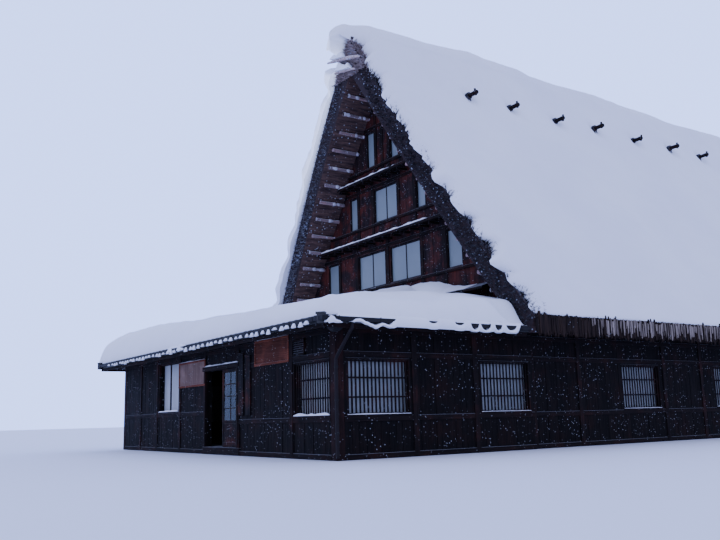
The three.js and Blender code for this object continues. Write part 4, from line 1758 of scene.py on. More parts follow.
    def _straw(self, shop: Workshop, end: End) -> None:
        """Brown straw at the ridge's end: on its face and over both edges behind it.

        Args:
            shop: What it builds with.
            end: The end of the house.
        """
        face, edges = [], {side: [] for side in Side}
        for share in spread(self.straw_from, self.straw_to, self.straw_sections):
            y = self.form.end_y(end, share)
            at = self.form.surface(share)
            before = y + 0.02 * end.value
            face.append((Vector((-at.x, before, at.z)), Vector((at.x, before, at.z))))
            for side in Side:
                x = side.value * (at.x + 0.01)
                behind = y - self.straw_width * end.value
                edges[side].append((Vector((x, y, at.z)), Vector((x, behind, at.z))))
        name = f"ridge_straw_{end.name.lower()}"
        seed = self.straw_face.seed
        parts = [self._scatter(shop, f"{name}_0", face, self.straw_face, shop.straw, (1, end.value), seed)]
        for i, side in enumerate(Side):
            kind, part, out = self.straw_edge, f"{name}_{i + 1}", (side.value, end.value)
            parts.append(self._scatter(shop, part, edges[side], kind, shop.straw, out, kind.seed + i))
        shop.dress(merge(name, parts), shop.straw)

    def _fringe(self, shop: Workshop, side: Side) -> None:
        """Strips of cut reeds that hang from one eave: dark layers, and here and there a pale one.

        Args:
            shop: What it builds with.
            side: The slope.
        """
        start, end = (self.form.end_y(gable, 0.0, self.eave_in) for gable in (End.FRONT, End.BACK))
        eave_x, eave_z, step = self.form.eave_x, self.form.eave_z, self.fringe_step
        runs = []
        for out, down in self.fringe_layers:
            x = side.value * (eave_x + self.fringe_out + out)
            run = {"count": int((end - start) / step), "start": (x, start, eave_z + self.eave_up - down)}
            run.update(asdict(self.fringe), step=(0.0, step, 0.0))
            for key in ("smallest", "largest"):
                run[key] = (*run[key][:2], run[key][2] - down)
            runs.append(run)
        strip = self._strip(0.5 * step * self.fringe_overlap)
        shop.dress(shop.rows(f"eave_fringe_{side.name.lower()}", strip, shop.eave, runs), shop.eave)
        runs = []
        for k, step in enumerate(self.tip_steps):
            x = side.value * (eave_x + self.tips_out + self.tips_shift[0] * k)
            y = start + self.tips_from + self.tips_shift[1] * k
            count = int((end - start - self.tips_from) / step)
            run = {"count": count, "start": (x, y, eave_z - self.tips_down), "step": (0.0, step, 0.0)}
            run.update(asdict(self.tips))
            run["stray"] = (run["stray"][0], run["stray"][1] * step, run["stray"][2])
            runs.append(run)
        tip = self._strip(self.tip_half)
        shop.dress(shop.rows(f"eave_tips_{side.name.lower()}", tip, shop.eave_tips, runs), shop.eave_tips)

    def _strip(self, half: float) -> Draft:
        """One strip of reeds that hangs down from the origin, half as wide as asked for on each side.

        Args:
            half: Half its width.

        Returns:
            The strip.
        """
        strip = Draft()
        thick = self.strip_half
        strip.rings(
            [[Vector((a * thick, b * half * share, z)) for a, b in SQUARE] for z, share in self.strip]
        )
        return strip


@dataclass
class SoffitPoles:
    """Smoked poles under the overhanging ends of the roof, the snow blown on them, and the peak's bundle.

    Each row of the bundle and of the stick gives a place across the gable, its height and its radius.
    """

    form: RoofForm
    purlin_step: float = 0.052
    purlins: int = 17
    first: float = 0.02
    under: float = 0.07
    middle_clear: float = 0.12
    tip_back: Span = (0.16, 0.1)
    radius: float = 0.058
    swelling: float = 0.25
    tones: Span = (0.5, 0.4)
    blown_out: float = 0.035
    blown_up: float = 0.02
    blown_rings: int = 24
    blown_radii: Span = (0.004, 0.062)
    bundle: tuple[Place, ...] = (
        (-1.12, 12.74, 0.03), (-0.5, 12.6, 0.06), (0.2, 12.42, 0.07), (0.75, 12.25, 0.04)
    )
    stick: tuple[Place, ...] = ((-0.75, 12.22, 0.03), (-0.1, 12.08, 0.05), (0.5, 11.93, 0.03))
    peak_out: float = 0.14
    peak_snow: Span = (0.26, 0.2)
    snow_shares: Span = (0.45, 0.8)
    snow_start: float = 0.2
    snow_out: float = 0.1
    snow_lift: float = 0.6

    def build(self, shop: Workshop) -> None:
        """Builds the poles of both ends.

        Args:
            shop: What it builds with.
        """
        for end in End:
            poles, blown, straw, snow = Draft(), Draft(), Draft(), Draft()
            for side in Side:
                self._purlins(poles, blown, end, side)
            self._peak(straw, snow, end)
            name = end.name.lower()
            shop.dress(poles.piece(f"verge_poles_{name}", crease=50), shop.soffit_wood)
            shop.dress(blown.piece(f"verge_pole_snow_{name}", crease=70), shop.soffit_snow)
            shop.dress(straw.piece(f"peak_bundles_{name}", crease=60), shop.straw)
            shop.dress(snow.piece(f"peak_snow_{name}", crease=70), shop.snow)

    def _purlins(self, poles: Draft, blown: Draft, end: End, side: Side) -> None:
        """Poles along the ridge that carry the overhang, each with a strip of blown snow.

        Args:
            poles: What the poles are added to.
            blown: What their snow is added to.
            end: The end of the house.
            side: The slope.
        """
        wall = 0.0 if end is End.FRONT else self.form.length
        inward = Vector((-side.value * self.form.outward.x, 0, -self.form.outward.z))
        for i in range(self.purlins):
            share = self.first + i * self.purlin_step
            at = self.form.surface(share, side, -self.form.thickness - self.under)
            if abs(at.x) < self.middle_clear:
                break
            tip = self.form.end_y(end, share, self.tip_back[0] + self.tip_back[1] * wave(at, 0.3))
            path = [Vector((at.x, y, at.z)) for y in spread(wall, tip, 4)]
            radii = [self.radius * (1 + self.swelling * wave(p, 0.4, 5.0)) for p in path]
            tone = self.tones[0] + self.tones[1] * wave(at, 0.2, 4.0)
            poles.tube(path, radii, sides=8, tone=tone)
            off = inward * self.blown_out
            places = spread(wall, tip, self.blown_rings)[1:]
            line = [Vector((at.x, y, at.z + self.blown_up)) + off for y in places]
            thin, thick = self.blown_radii
            blown.tube(line, [thin + thick * ease(0.0, 0.3, wave(p, 0.17, 6.0)) for p in line], sides=6)

    def _peak(self, straw: Draft, snow: Draft, end: End) -> None:
        """A bundle of straw across the peak and a stick under it, with snow on both.

        Args:
            straw: What the bundle and the stick are added to.
            snow: What their snow is added to.
            end: The end of the house.
        """
        roll = SnowRoll(*self.peak_snow, lumps=0.6, seed=1.0)
        for knots, share in zip((self.bundle, self.stick), self.snow_shares):
            y = self.form.end_y(end, self.form.share(knots[0][1])) + self.peak_out * end.value
            path = [Vector((x, y, z)) for x, z, _ in knots]
            shares = spread(0.0, 1.0, 9)
            thickness = [(k / (len(knots) - 1), radius) for k, (_, _, radius) in enumerate(knots)]
            radii = [from_table(thickness, t)[0] for t in shares]
            straw.tube(smooth_path(path, shares), radii, sides=9, tone=0.6)
            lift = Vector((0, -self.snow_out * end.value, max(radii) * self.snow_lift))
            start, stop = smooth_path(path, (self.snow_start, self.snow_start + share * 0.75))
            roll.lay(snow, start + lift, stop + lift, Vector((0, end.value, 0)))


@dataclass
class NeedlePoles:
    """Logs through the ridge thatch, each with an upright peg and straw rope at its root."""

    root: float = 1.1
    knee: float = 1.6
    tip: float = 1.985
    tip_lap: Span = (-0.02, 0.01)
    radius: float = 0.078
    radii_shares: tuple[float, ...] = (1.0, 0.98, 0.8)
    thickest: float = 1.1
    peg_stray: Span = (-0.02, 0.02)
    peg_lean: tuple[Span, ...] = ((-0.02, 0.04), (-0.03, 0.03))
    peg_in: float = 0.06
    peg_down: float = 0.1
    peg_height: float = 0.23
    peg_radii: Span = (0.04, 0.034)
    turns: int = 3
    rope_at: float = 1.52
    rope_step: float = 0.045
    rope_ring: float = 0.1
    rope_radius: float = 0.022
    rope_sides: int = 12
    loose_ends: int = 5
    loose_at: float = 1.58
    loose_stray: Span = (-0.09, 0.09)
    loose_out: Span = (0.02, 0.1)
    loose_lean: Span = (-0.05, 0.05)
    loose_down: Span = (0.08, 0.14)
    loose_radii: Span = (0.016, 0.004)
    snow_from: float = 1.63
    snow_short: float = 0.1
    snow_up: float = 0.025
    snow_height: float = 0.1

    def build(self, shop: Workshop) -> None:
        """Builds all poles with their pegs, ropes and snow.

        Args:
            shop: What it builds with.
        """
        logs, ropes, snow = Draft(), Draft(), Draft()
        chance = random.Random(4)
        for y, z in POLES:
            for side in Side:
                place = Vector((0, y, z))
                self._log(logs, side, place, chance)
                self._rope(ropes, side, place, chance)
                self._snow(snow, side, place)
        shop.dress(logs.piece("needle_poles", crease=50), shop.beams_x)
        shop.dress(ropes.piece("pole_ropes", crease=50), shop.verge)
        shop.dress(snow.piece("pole_snow", crease=70), shop.snow)

    def _log(self, draft: Draft, side: Side, place: Vector, chance: random.Random) -> None:
        """One log over the frame's pole, with its peg.

        Args:
            draft: What the log is added to.
            side: The slope.
            place: Where the log crosses the ridge.
            chance: The source of its random values.
        """
        ends = [self.root, self.knee, *(self.tip + lap for lap in self.tip_lap)]
        thick = chance.uniform(1.0, self.thickest)
        radii = [self.radius * share for share in (thick, *self.radii_shares)]
        path = [place + Vector((side.value * x, 0, 0)) for x in ends]
        draft.tube(path, radii, sides=12, tone=chance.random())
        peg_x = side.value * (self.tip - self.peg_in)
        foot = place + Vector((peg_x, chance.uniform(*self.peg_stray), -self.peg_down))
        out, along = self.peg_lean
        lean_x = side.value * chance.uniform(*out)
        lean = Vector((lean_x, chance.uniform(*along), self.peg_height))
        draft.tube([foot, foot + lean], self.peg_radii, sides=8, tone=0.3)

    def _rope(self, draft: Draft, side: Side, place: Vector, chance: random.Random) -> None:
        """Turns of rope round the log's root, with loose ends.

        Args:
            draft: What the rope is added to.
            side: The slope.
            place: Where the log crosses the ridge.
            chance: The source of its random values.
        """
        for k in range(self.turns):
            x = side.value * (self.rope_at + self.rope_step * k)
            turns = [2 * math.pi * step / self.rope_sides for step in range(self.rope_sides + 1)]
            ring = [
                place + Vector((x, math.cos(t) * self.rope_ring, math.sin(t) * self.rope_ring)) for t in turns
            ]
            draft.tube(ring, [self.rope_radius] * len(ring), sides=5, tone=0.4 + 0.2 * k)
        for _ in range(self.loose_ends):
            at, down = side.value * self.loose_at, self.loose_down
            start = place + Vector((at, chance.uniform(*self.loose_stray), -down[0]))
            end_x = side.value * chance.uniform(*self.loose_out)
            end = start + Vector((end_x, chance.uniform(*self.loose_lean), -down[1]))
            draft.tube([start, end], self.loose_radii, sides=4, tone=0.6)

    def _snow(self, draft: Draft, side: Side, place: Vector) -> None:
        """Snow that lies on the log between its root and its peg.

        Args:
            draft: What the snow is added to.
            side: The slope.
            place: Where the log crosses the ridge.
        """
        ends = (self.snow_from, self.tip - self.snow_short)
        start, end = (place + Vector((side.value * x, self.radius, self.snow_up)) for x in ends)
        roll = SnowRoll(2 * self.radius, self.snow_height, lumps=0.3, seed=place.y)
        roll.lay(draft, start, end, Vector((0, -1, 0)))


@dataclass(frozen=True)
class WallPlane:
    """An upright wall seen from outside: u runs along it and out stands off it."""

    along: Axis
    face: float
    sign: int

    def at(self, u: float, out: float, z: float) -> Vector:
        """A place on the wall, or off it."""
        across = self.face + self.sign * out
        return Vector((u, across, z)) if self.along is Axis.X else Vector((across, u, z))

    @property
    def outward(self) -> Vector:
        """The direction off the wall."""
        return self.at(0, 1, 0) - self.at(0, 0, 0)

    @property
    def ahead(self) -> Vector:
        """The direction along the wall."""
        return self.at(1, 0, 0) - self.at(0, 0, 0)

    @property
    def at_origin(self) -> WallPlane:
        """A wall through the origin that faces the same way."""
        return WallPlane(self.along, 0.0, self.sign)

    def block(self, draft: Draft, u: Span, out: Span, z: Span, tone: float = 0.5) -> None:
        """Adds a block given along the wall, off it and in height."""
        outline = [self.at(u[a], out[b], z[0]) for a, b in ((0, 0), (1, 0), (1, 1), (0, 1))]
        draft.prism(outline, Vector((0, 0, z[1] - z[0])), tone)


@dataclass(frozen=True)
class Hole:
    """A window in a wall: its span along the wall and its span in height."""

    u: Span
    z: Span


@dataclass
class SnowRoll:
    """A rounded strip of snow that lies on a ledge."""

    width: float
    height: float
    lumps: float = 0.35
    step: float = 0.07
    seed: float = 0.0
    crust: float = 0.4
    fullness: float = 0.8
    ends: float = 0.25
    least: float = 0.01

    def lay(self, draft: Draft, start: Vector, end: Vector, across: Vector) -> None:
        """Lays the strip on a line.

        Args:
            draft: What it is added to.
            start: The inner edge of the ledge where the strip starts.
            end: The inner edge where it ends.
            across: The direction from the inner edge outwards.
        """
        count = max(4, round((end - start).length / self.step))
        rings = []
        for i, share in enumerate(spread(0.0, 1.0, count)):
            at = start.lerp(end, share)
            near = min(1.0, ease(0, 1, i / 2), ease(0, 1, (count - 1 - i) / 2))
            taper = self.ends + (1 - self.ends) * near
            rough = 1 + self.lumps * wave(at, 0.5, self.seed) + self.crust * wave(at, 0.15, 7.0)
            high = max(self.height * taper * rough, self.least)
            wide = self.width * (0.9 + 0.25 * self.lumps * wave(at, 0.35, self.seed + 2))
            ring = []
            for turn in spread(0.0, math.pi, 8):
                side = (0.5 - 0.5 * math.cos(turn)) * wide
                ring.append(at + across * side + Vector((0, 0, high * math.sin(turn) ** self.fullness)))
            rings.append(ring)
        draft.rings(rings)


@dataclass
class Cladding:
    """Upright boards over a wall, cut round its windows and along its head."""

    wall: WallPlane
    run: Span
    foot: float
    head: Callable[[float], float]
    holes: Sequence[Hole] = ()
    board: float = 0.19
    thickness: float = 0.022
    gap: float = 0.007
    seed: int = 1

    def draft(self) -> Draft:
        """The boards of the wall.

        Returns:
            The boards, each one a body with a tone.
        """
        chance = random.Random(self.seed)
        boards = Draft()
        edges = self._edges(chance)
        for a, b in zip(edges, edges[1:]):
            if b - a < 0.02:
                continue
            tone = chance.random()
            out = (0.001, self.thickness * chance.uniform(0.8, 1.2))
            for low, high in self._spans(0.5 * (a + b)):
                self._board(boards, (a + self.gap / 2, b - self.gap / 2), (low, high), out, tone)
        return boards

    def _edges(self, chance: random.Random) -> list[float]:
        """Where one board ends and the next starts.

        Args:
            chance: The source of its random values.

        Returns:
            The places along the wall, in order.
        """
        edges = [self.run[0]]
        while edges[-1] < self.run[1] - 1.4 * self.board:
            edges.append(edges[-1] + self.board * chance.uniform(0.82, 1.18))
        fixed = [u for hole in self.holes for u in hole.u if self.run[0] < u < self.run[1]]
        kept = [e for e in edges if all(abs(e - u) > 0.05 for u in fixed)]
        return sorted([*kept, *fixed, self.run[1]])

    def _spans(self, u: float) -> list[tuple[float, float | None]]:
        """The upright spans of a board that no window takes, with nothing for the wall's head.

        Args:
            u: The board's middle.

        Returns:
            The lower and the upper end of each span.
        """
        spans, low = [], self.foot
        for hole in sorted(self.holes, key=lambda h: h.z[0]):
            if hole.u[0] < u < hole.u[1]:
                spans.append((low, hole.z[0]))
                low = hole.z[1]
        return [*spans, (low, None)]

    def _board(self, boards: Draft, u: Span, z: tuple[float, float | None], out: Span, tone: float) -> None:
        """One board, with its upper end cut along the wall's head.

        Args:
            boards: What it is added to.
            u: Its span along the wall.
            z: Its span in height.
            out: Its inner and outer face, off the wall.
            tone: How light its finish is.
        """
        tops = [self.head(x) if z[1] is None else min(z[1], self.head(x)) for x in u]
        ends = list(u)
        if max(tops) <= z[0] + 0.01:
            return
        for k in (0, 1):
            if tops[k] < z[0]:
                share = (z[0] - tops[k]) / (tops[1 - k] - tops[k])
                ends[k] = blend(ends[k], ends[1 - k], share)
                tops[k] = z[0] + 0.001
        corners = [(ends[0], z[0]), (ends[1], z[0]), (ends[1], tops[1]), (ends[0], tops[0])]
        outline = [self.wall.at(x, out[0], h) for x, h in corners]
        boards.prism(outline, self.wall.outward * (out[1] - out[0]), tone)


@dataclass
class WindowFrames:
    """Frames round the windows of a wall, with a stile between the leaves."""

    wall: WallPlane
    holes: Sequence[Hole]
    width: float = 0.03
    out: float = 0.03
    inset: float = 0.035
    leaf: float = 0.9
    leaf_out: Span = (-0.03, 0.012)
    lap: float = 0.012
    over: float = 0.02
    stile_shares: Span = (0.6, 0.4)
    stile_half: float = 0.022
    leaf_rails: Span = (0.05, 0.045)
    pane: Span = (-0.05, -0.036)

    def draw(self, draft: Draft) -> None:
        """Adds the frames and the stiles of all windows.

        Args:
            draft: What they are added to.
        """
        depth = (-self.inset, self.out)
        sill_depth = (-self.inset, self.out + self.over)
        leaf_depth = (-self.inset + self.leaf_out[0], -self.inset + self.leaf_out[1])
        w, lap, over = self.width, self.lap, self.over
        outer, inner = (w * share for share in self.stile_shares)
        for hole in self.holes:
            (u0, u1), (z0, z1) = hole.u, hole.z
            for span in ((u0 - outer, u0 + inner), (u1 - inner, u1 + outer)):
                self.wall.block(draft, span, depth, (z0 - over, z1 + over), 0.5)
            self.wall.block(draft, (u0 - w, u1 + w), sill_depth, (z0 - w, z0 + lap), 0.6)
            self.wall.block(draft, (u0 - w, u1 + w), depth, (z1 - lap, z1 + w), 0.4)
            leaves = max(1, round((u1 - u0) / self.leaf))
            for i in range(1, leaves):
                u = blend(u0, u1, i / leaves)
                self.wall.block(draft, (u - self.stile_half, u + self.stile_half), leaf_depth, (z0, z1), 0.55)
            low, high = self.leaf_rails
            for z in ((z0 + lap, z0 + low), (z1 - high, z1 - lap)):
                self.wall.block(draft, (u0 + over, u1 - over), leaf_depth, z, 0.5)

    def panes(self, draft: Draft) -> None:
        """Adds the paper of all windows, just inside their frames."""
        for hole in self.holes:
            self.wall.block(draft, hole.u, self.pane, hole.z)


@dataclass(frozen=True)
class Storey:
    """One boarded storey of a gable."""

    level: int
    step: float
    sill: float
    lintel: float
    panes: tuple[Span, ...]
    posts: tuple[float, ...]
    leaf: float

    def holes(self) -> list[Hole]:
        """The windows of both halves.

        Returns:
            The windows, the right half first.
        """
        rise = (self.sill, self.lintel)
        right = [Hole(span, rise) for span in self.panes]
        return right + [Hole((-b, -a), rise) for a, b in self.panes if a > 0]


@dataclass
class Gable:
    """The boarded gable over the lean-to: three stepped storeys with windows, rails and snowed ledges."""

    form: RoofForm
    end: End
    storeys: tuple[Storey, ...] = (
        Storey(1, 0.0, 5.09, 6.26, ((0.147, 1.677), (2.955, 3.6)), (0.0, 1.77, 2.86), 0.765),
        Storey(2, 0.03, 7.21, 8.35, ((-0.617, 0.617), (1.646, 2.07)), (0.71, 1.55), 0.62),
        Storey(3, 0.1, 9.15, 10.38, ((0.454, 0.861),), (0.0, 0.36), 0.9),
    )
    half_width: float = 5.72
    clear: float = 0.03
    post_half: float = 0.075
    post_out: float = 0.05
    post_clear: float = 0.1
    sill_rail: Place = (-0.11, 0.085, 0.085)
    lintel_rail: Place = (0.055, 0.06, 0.1)
    sill_snow: Span = (-1.75, 0.0)
    sill_snow_at: Span = (0.012, -0.026)
    sill_snow_size: Span = (0.05, 0.014)
    rafter_step: float = 0.46
    rafter: Span = (0.065, 0.075)
    rafter_root: float = 0.12
    rafter_down: float = 0.05
    rafter_short: float = 0.03
    rafter_fall: float = 0.025
    ledge_in: float = 0.12
    ledge_snow: Span = (0.3, 0.085)
    ledge_board: Span = (0.03, 0.055)
    ledge_over: float = 0.1
    ledge_board_out: Span = (-0.005, 0.022)
    bare_end: float = 1.05

    def build(self, shop: Workshop) -> None:
        """Builds boards, timbers and snow of the gable.

        Args:
            shop: What it builds with.
        """
        boards, timbers, beams, snow, panes = Draft(), Draft(), Draft(), Draft(), Draft()
        for storey in self.storeys:
            low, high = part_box(f"gable_wall_{self.end.name.lower()}_{storey.level}")
            wall = self._wall(storey)
            self._boards(boards, storey, wall, low.z, high.z)
            windows = WindowFrames(wall, storey.holes(), leaf=storey.leaf)
            windows.draw(timbers)
            windows.panes(panes)
            self._posts(timbers, storey, wall, low.z, high.z)
            self._rails(beams, snow, storey, wall)
        for level in (1, 2):
            self._ledge(beams, snow, level)
        name = self.end.name.lower()
        shop.dress(boards.piece(f"gable_boards_{name}"), shop.boards)
        shop.dress(soften(timbers.piece(f"gable_window_timber_{name}"), 0.006), shop.timber)
        shop.dress(soften(beams.piece(f"gable_rails_{name}"), 0.008), shop.beams_x)
        shop.dress(snow.piece(f"gable_ledge_snow_{name}", crease=75), shop.snow)
        shop.dress(panes.piece(f"gable_panes_{name}"), shop.paper)

    def _wall(self, storey: Storey) -> WallPlane:
        """The outer face of a storey."""
        face = -storey.step if self.end is End.FRONT else self.form.length + storey.step
        return WallPlane(Axis.X, face, self.end.value)

    def _half(self, z: float) -> float:
        """Half the gable's width at a height."""
        return min(self.form.soffit_x(z) - self.clear, self.half_width)

    def _boards(self, boards: Draft, storey: Storey, wall: WallPlane, foot: float, head: float) -> None:
        """Boards of one storey under the slope of the roof.

        Args:
            boards: What they are added to.
            storey: The storey.
            wall: The wall.
            foot: The height of its lower edge.
            head: The height of its upper edge.
        """
        half = self._half(foot)

        def top(u: float) -> float:
            """The head of the boards at a place along the wall."""
            return min(head, self.form.soffit_z(u) - self.clear)

        seed = storey.level * self.end.value
        boards.take(Cladding(wall, (-half, half), foot, top, storey.holes(), seed=seed).draft())

    def _posts(self, timbers: Draft, storey: Storey, wall: WallPlane, foot: float, head: float) -> None:
        """Posts beside the windows, and one along each side under the roof.

        Args:
            timbers: What they are added to.
            storey: The storey.
            wall: The wall.
            foot: The height of its lower edge.
            head: The height of its upper edge.
        """
        for x in sorted({side * x for x in storey.posts for side in (-1, 1)}):
            top = min(head, self.form.soffit_z(x) - self.post_clear)
            wide = (x - self.post_half, x + self.post_half)
            wall.block(timbers, wide, (0.0, self.post_out), (foot, top), 0.7)

    def _rails(self, beams: Draft, snow: Draft, storey: Storey, wall: WallPlane) -> None:
        """Rails under and over the windows, with snow on the lower one.

        Args:
            beams: What the rails are added to.
            snow: What their snow is added to.
            storey: The storey.
            wall: The wall.
        """
        for edge, (up, out, high) in ((storey.sill, self.sill_rail), (storey.lintel, self.lintel_rail)):
            z = edge + up
            half = self._half(z + high)
            wall.block(beams, (-half, half), (0.0, out), (z, z + high), 0.6)
        if storey.level == 1:
            out, up = self.sill_snow_at
            start, end = (wall.at(u, out, storey.sill + up) for u in self.sill_snow)
            SnowRoll(*self.sill_snow_size, lumps=0.9, seed=1.0).lay(snow, start, end, wall.outward)

    def _ledge(self, beams: Draft, snow: Draft, level: int) -> None:
        """Rafter ends under one ledge, a board along its edge, and the snow on it.

        Args:
            beams: What the timbers are added to.
            snow: What the snow is added to.
            level: The storey under the ledge.
        """
        low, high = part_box(f"ledge_{self.end.name.lower()}_{level}")
        upper = self._wall(self.storeys[level])
        outer = abs((low.y if self.end is End.FRONT else high.y) - upper.face)
        half = high.x - self.ledge_in
        count = round(2 * half / self.rafter_step)
        wide, tall = self.rafter
        z = low.z - self.rafter_down
        for i in range(count + 1):
            u = blend(-half, half, i / count)
            start = upper.at(u, -self.rafter_root, z)
            end = upper.at(u, outer - self.rafter_short, z - self.rafter_fall)
            tone = 0.3 + 0.5 * ((i * 7) % 5) / 5
            beams.bar(start, end, Vector((wide, 0, 0)), Vector((0, 0, tall)), tone)
        down, up = self.ledge_board
        board = (outer + self.ledge_board_out[0], outer + self.ledge_board_out[1])
        run = (-half - self.ledge_over, half + self.ledge_over)
        upper.block(beams, run, board, (low.z - down, low.z + up), 0.7)
        width = min(self.ledge_snow[0], outer + 0.03)
        roll = SnowRoll(width, self.ledge_snow[1], lumps=0.4, seed=3.0 * level)
        inner = outer + 0.035 - width
        z = low.z + 0.028 + 0.05 * (1 - inner / outer) * 0.5
        roll.lay(snow, upper.at(-high.x, inner, z), upper.at(half - self.bare_end, inner, z), upper.outward)


@dataclass
class Lattice:
    """Upright bars before a window, held by two rails."""

    name: str
    wall: WallPlane
    hole: Hole
    spacing: float
    bar: float = 0.04
    depth: float = 0.022
    out: float = 0.012
    bars_in: float = 0.05
    rails_in: Span = (0.07, 0.048)
    rail_half: float = 0.02
    rail_shares: Span = (0.32, 0.67)
    uneven: Uneven = Uneven((0.002, 0.002, 0.0), (0.92, 0.92, 1.0), (1.08, 1.08, 1.0))

    def build(self, shop: Workshop) -> list[bpy.types.Object]:
        """Builds the bars and the rails.

        Args:
            shop: What it builds with.

        Returns:
            The bars and the rails, not yet dressed.
        """
        (u0, u1), (z0, z1) = self.hole.u, self.hole.z
        count = max(2, round((u1 - u0) / self.spacing))
        step = (u1 - u0) / count
        shape = Draft()
        half = self.bar / 2
        self.wall.at_origin.block(shape, (-half, half), (0, self.depth), (0, z1 - z0))
        start = self.wall.at(u0 + step / 2, self.out - self.bars_in, z0)
        bars = shop.row.run(
            f"{self.name}_bars", shape, shop.timber.material(shop.groups), count=count, start=tuple(start),
            step=tuple(self.wall.ahead * step), seed=5, **asdict(self.uneven)
        )
        rails = Draft()
        depth = (self.out - self.rails_in[0], self.out - self.rails_in[1])
        for share in self.rail_shares:
            z = blend(z0, z1, share)
            self.wall.block(rails, (u0, u1), depth, (z - self.rail_half, z + self.rail_half), 0.4)
        return [bars, rails.piece(f"{self.name}_rails")]


@dataclass(frozen=True)
class WallSpec:
    """One wall of the ground storey and what is on it."""

    name: str
    plane: WallPlane
    run: Span
    head: float
    foot: float = 0.0
    holes: tuple[Hole, ...] = ()
    bars: float | None = None
    rails: tuple[float, ...] = (0.0, 0.8, 2.2, 2.72)
    posts: tuple[float, ...] = ()


@dataclass
class LowWalls:
    """Boards, rails, posts and window bars of all walls of the ground storey."""

    walls: tuple[WallSpec, ...]
    rail: float = 0.12
    rail_out: float = 0.042
    rail_clear: Span = (0.05, 0.02)
    post: float = 0.14
    post_out: float = 0.05
    barred_leaf: float = 2.0
    plain_leaf: float = 0.85
    sill_snow: Place = (0.01, 0.011, 0.05)
    front_sill: float = 0.055
    side_sill: float = 0.012

    def build(self, shop: Workshop) -> None:
        """Builds every wall's dressing."""
        for wall in self.walls:
            self._dress_wall(shop, wall)

    def _dress_wall(self, shop: Workshop, wall: WallSpec) -> None:
        """Builds one wall's boards, timbers, bars and sill snow.

        Args:
            shop: What it builds with.
            wall: The wall.
        """
        boards = Cladding(
            wall.plane, wall.run, wall.foot, lambda u: wall.head, wall.holes, seed=len(wall.name)
        ).draft()
        shop.dress(boards.piece(f"{wall.name}_boards"), shop.low_boards)
        timbers, beams, snow = Draft(), Draft(), Draft()
        leaf = self.barred_leaf if wall.bars else self.plain_leaf
        WindowFrames(wall.plane, wall.holes, leaf=leaf).draw(timbers)
        for u in wall.posts:
            wide = (u - self.post / 2, u + self.post / 2)
            wall.plane.block(timbers, wide, (0.0, self.post_out), (wall.foot, wall.head), 0.6)
        for z in wall.rails:
            if wall.foot <= z < wall.head - self.rail:
                self._rail(beams, wall, z)
        deep = self.front_sill if wall.plane.along is Axis.X else self.side_sill
        for hole in wall.holes:
            out, up, wide = self.sill_snow
            start, end = (wall.plane.at(u, out, hole.z[0] + up) for u in hole.u)
            SnowRoll(wide, deep, lumps=0.9, seed=hole.u[0]).lay(snow, start, end, wall.plane.outward)
        if wall.posts or wall.holes:
            parts = [timbers.piece(f"{wall.name}_frames")]
            if wall.bars:
                for i, hole in enumerate(wall.holes):
                    parts += Lattice(f"{wall.name}_lattice_{i}", wall.plane, hole, wall.bars).build(shop)
            shop.dress(soften(merge(f"{wall.name}_timbers", parts), 0.004), shop.timber)
        finish = shop.beams_x if wall.plane.along is Axis.X else shop.beams_y
        shop.dress(soften(beams.piece(f"{wall.name}_rails"), 0.006), finish)
        if wall.holes:
            shop.dress(snow.piece(f"{wall.name}_sill_snow", crease=75), shop.snow)

    def _rail(self, beams: Draft, wall: WallSpec, z: float) -> None:
        """A rail along the wall, left out where a window is.

        Args:
            beams: What it is added to.
            wall: The wall.
            z: Its lower edge.
        """
        low = wall.run[0]
        beside, over = self.rail_clear
        out, rise = (0.0, self.rail_out), (z, z + self.rail)
        for hole in sorted(wall.holes, key=lambda h: h.u[0]):
            if hole.z[0] - over < z + self.rail and z < hole.z[1] + over:
                wall.plane.block(beams, (low, hole.u[0] - beside), out, rise, 0.5)
                low = hole.u[1] + beside
        wall.plane.block(beams, (low, wall.run[1]), out, rise, 0.5)


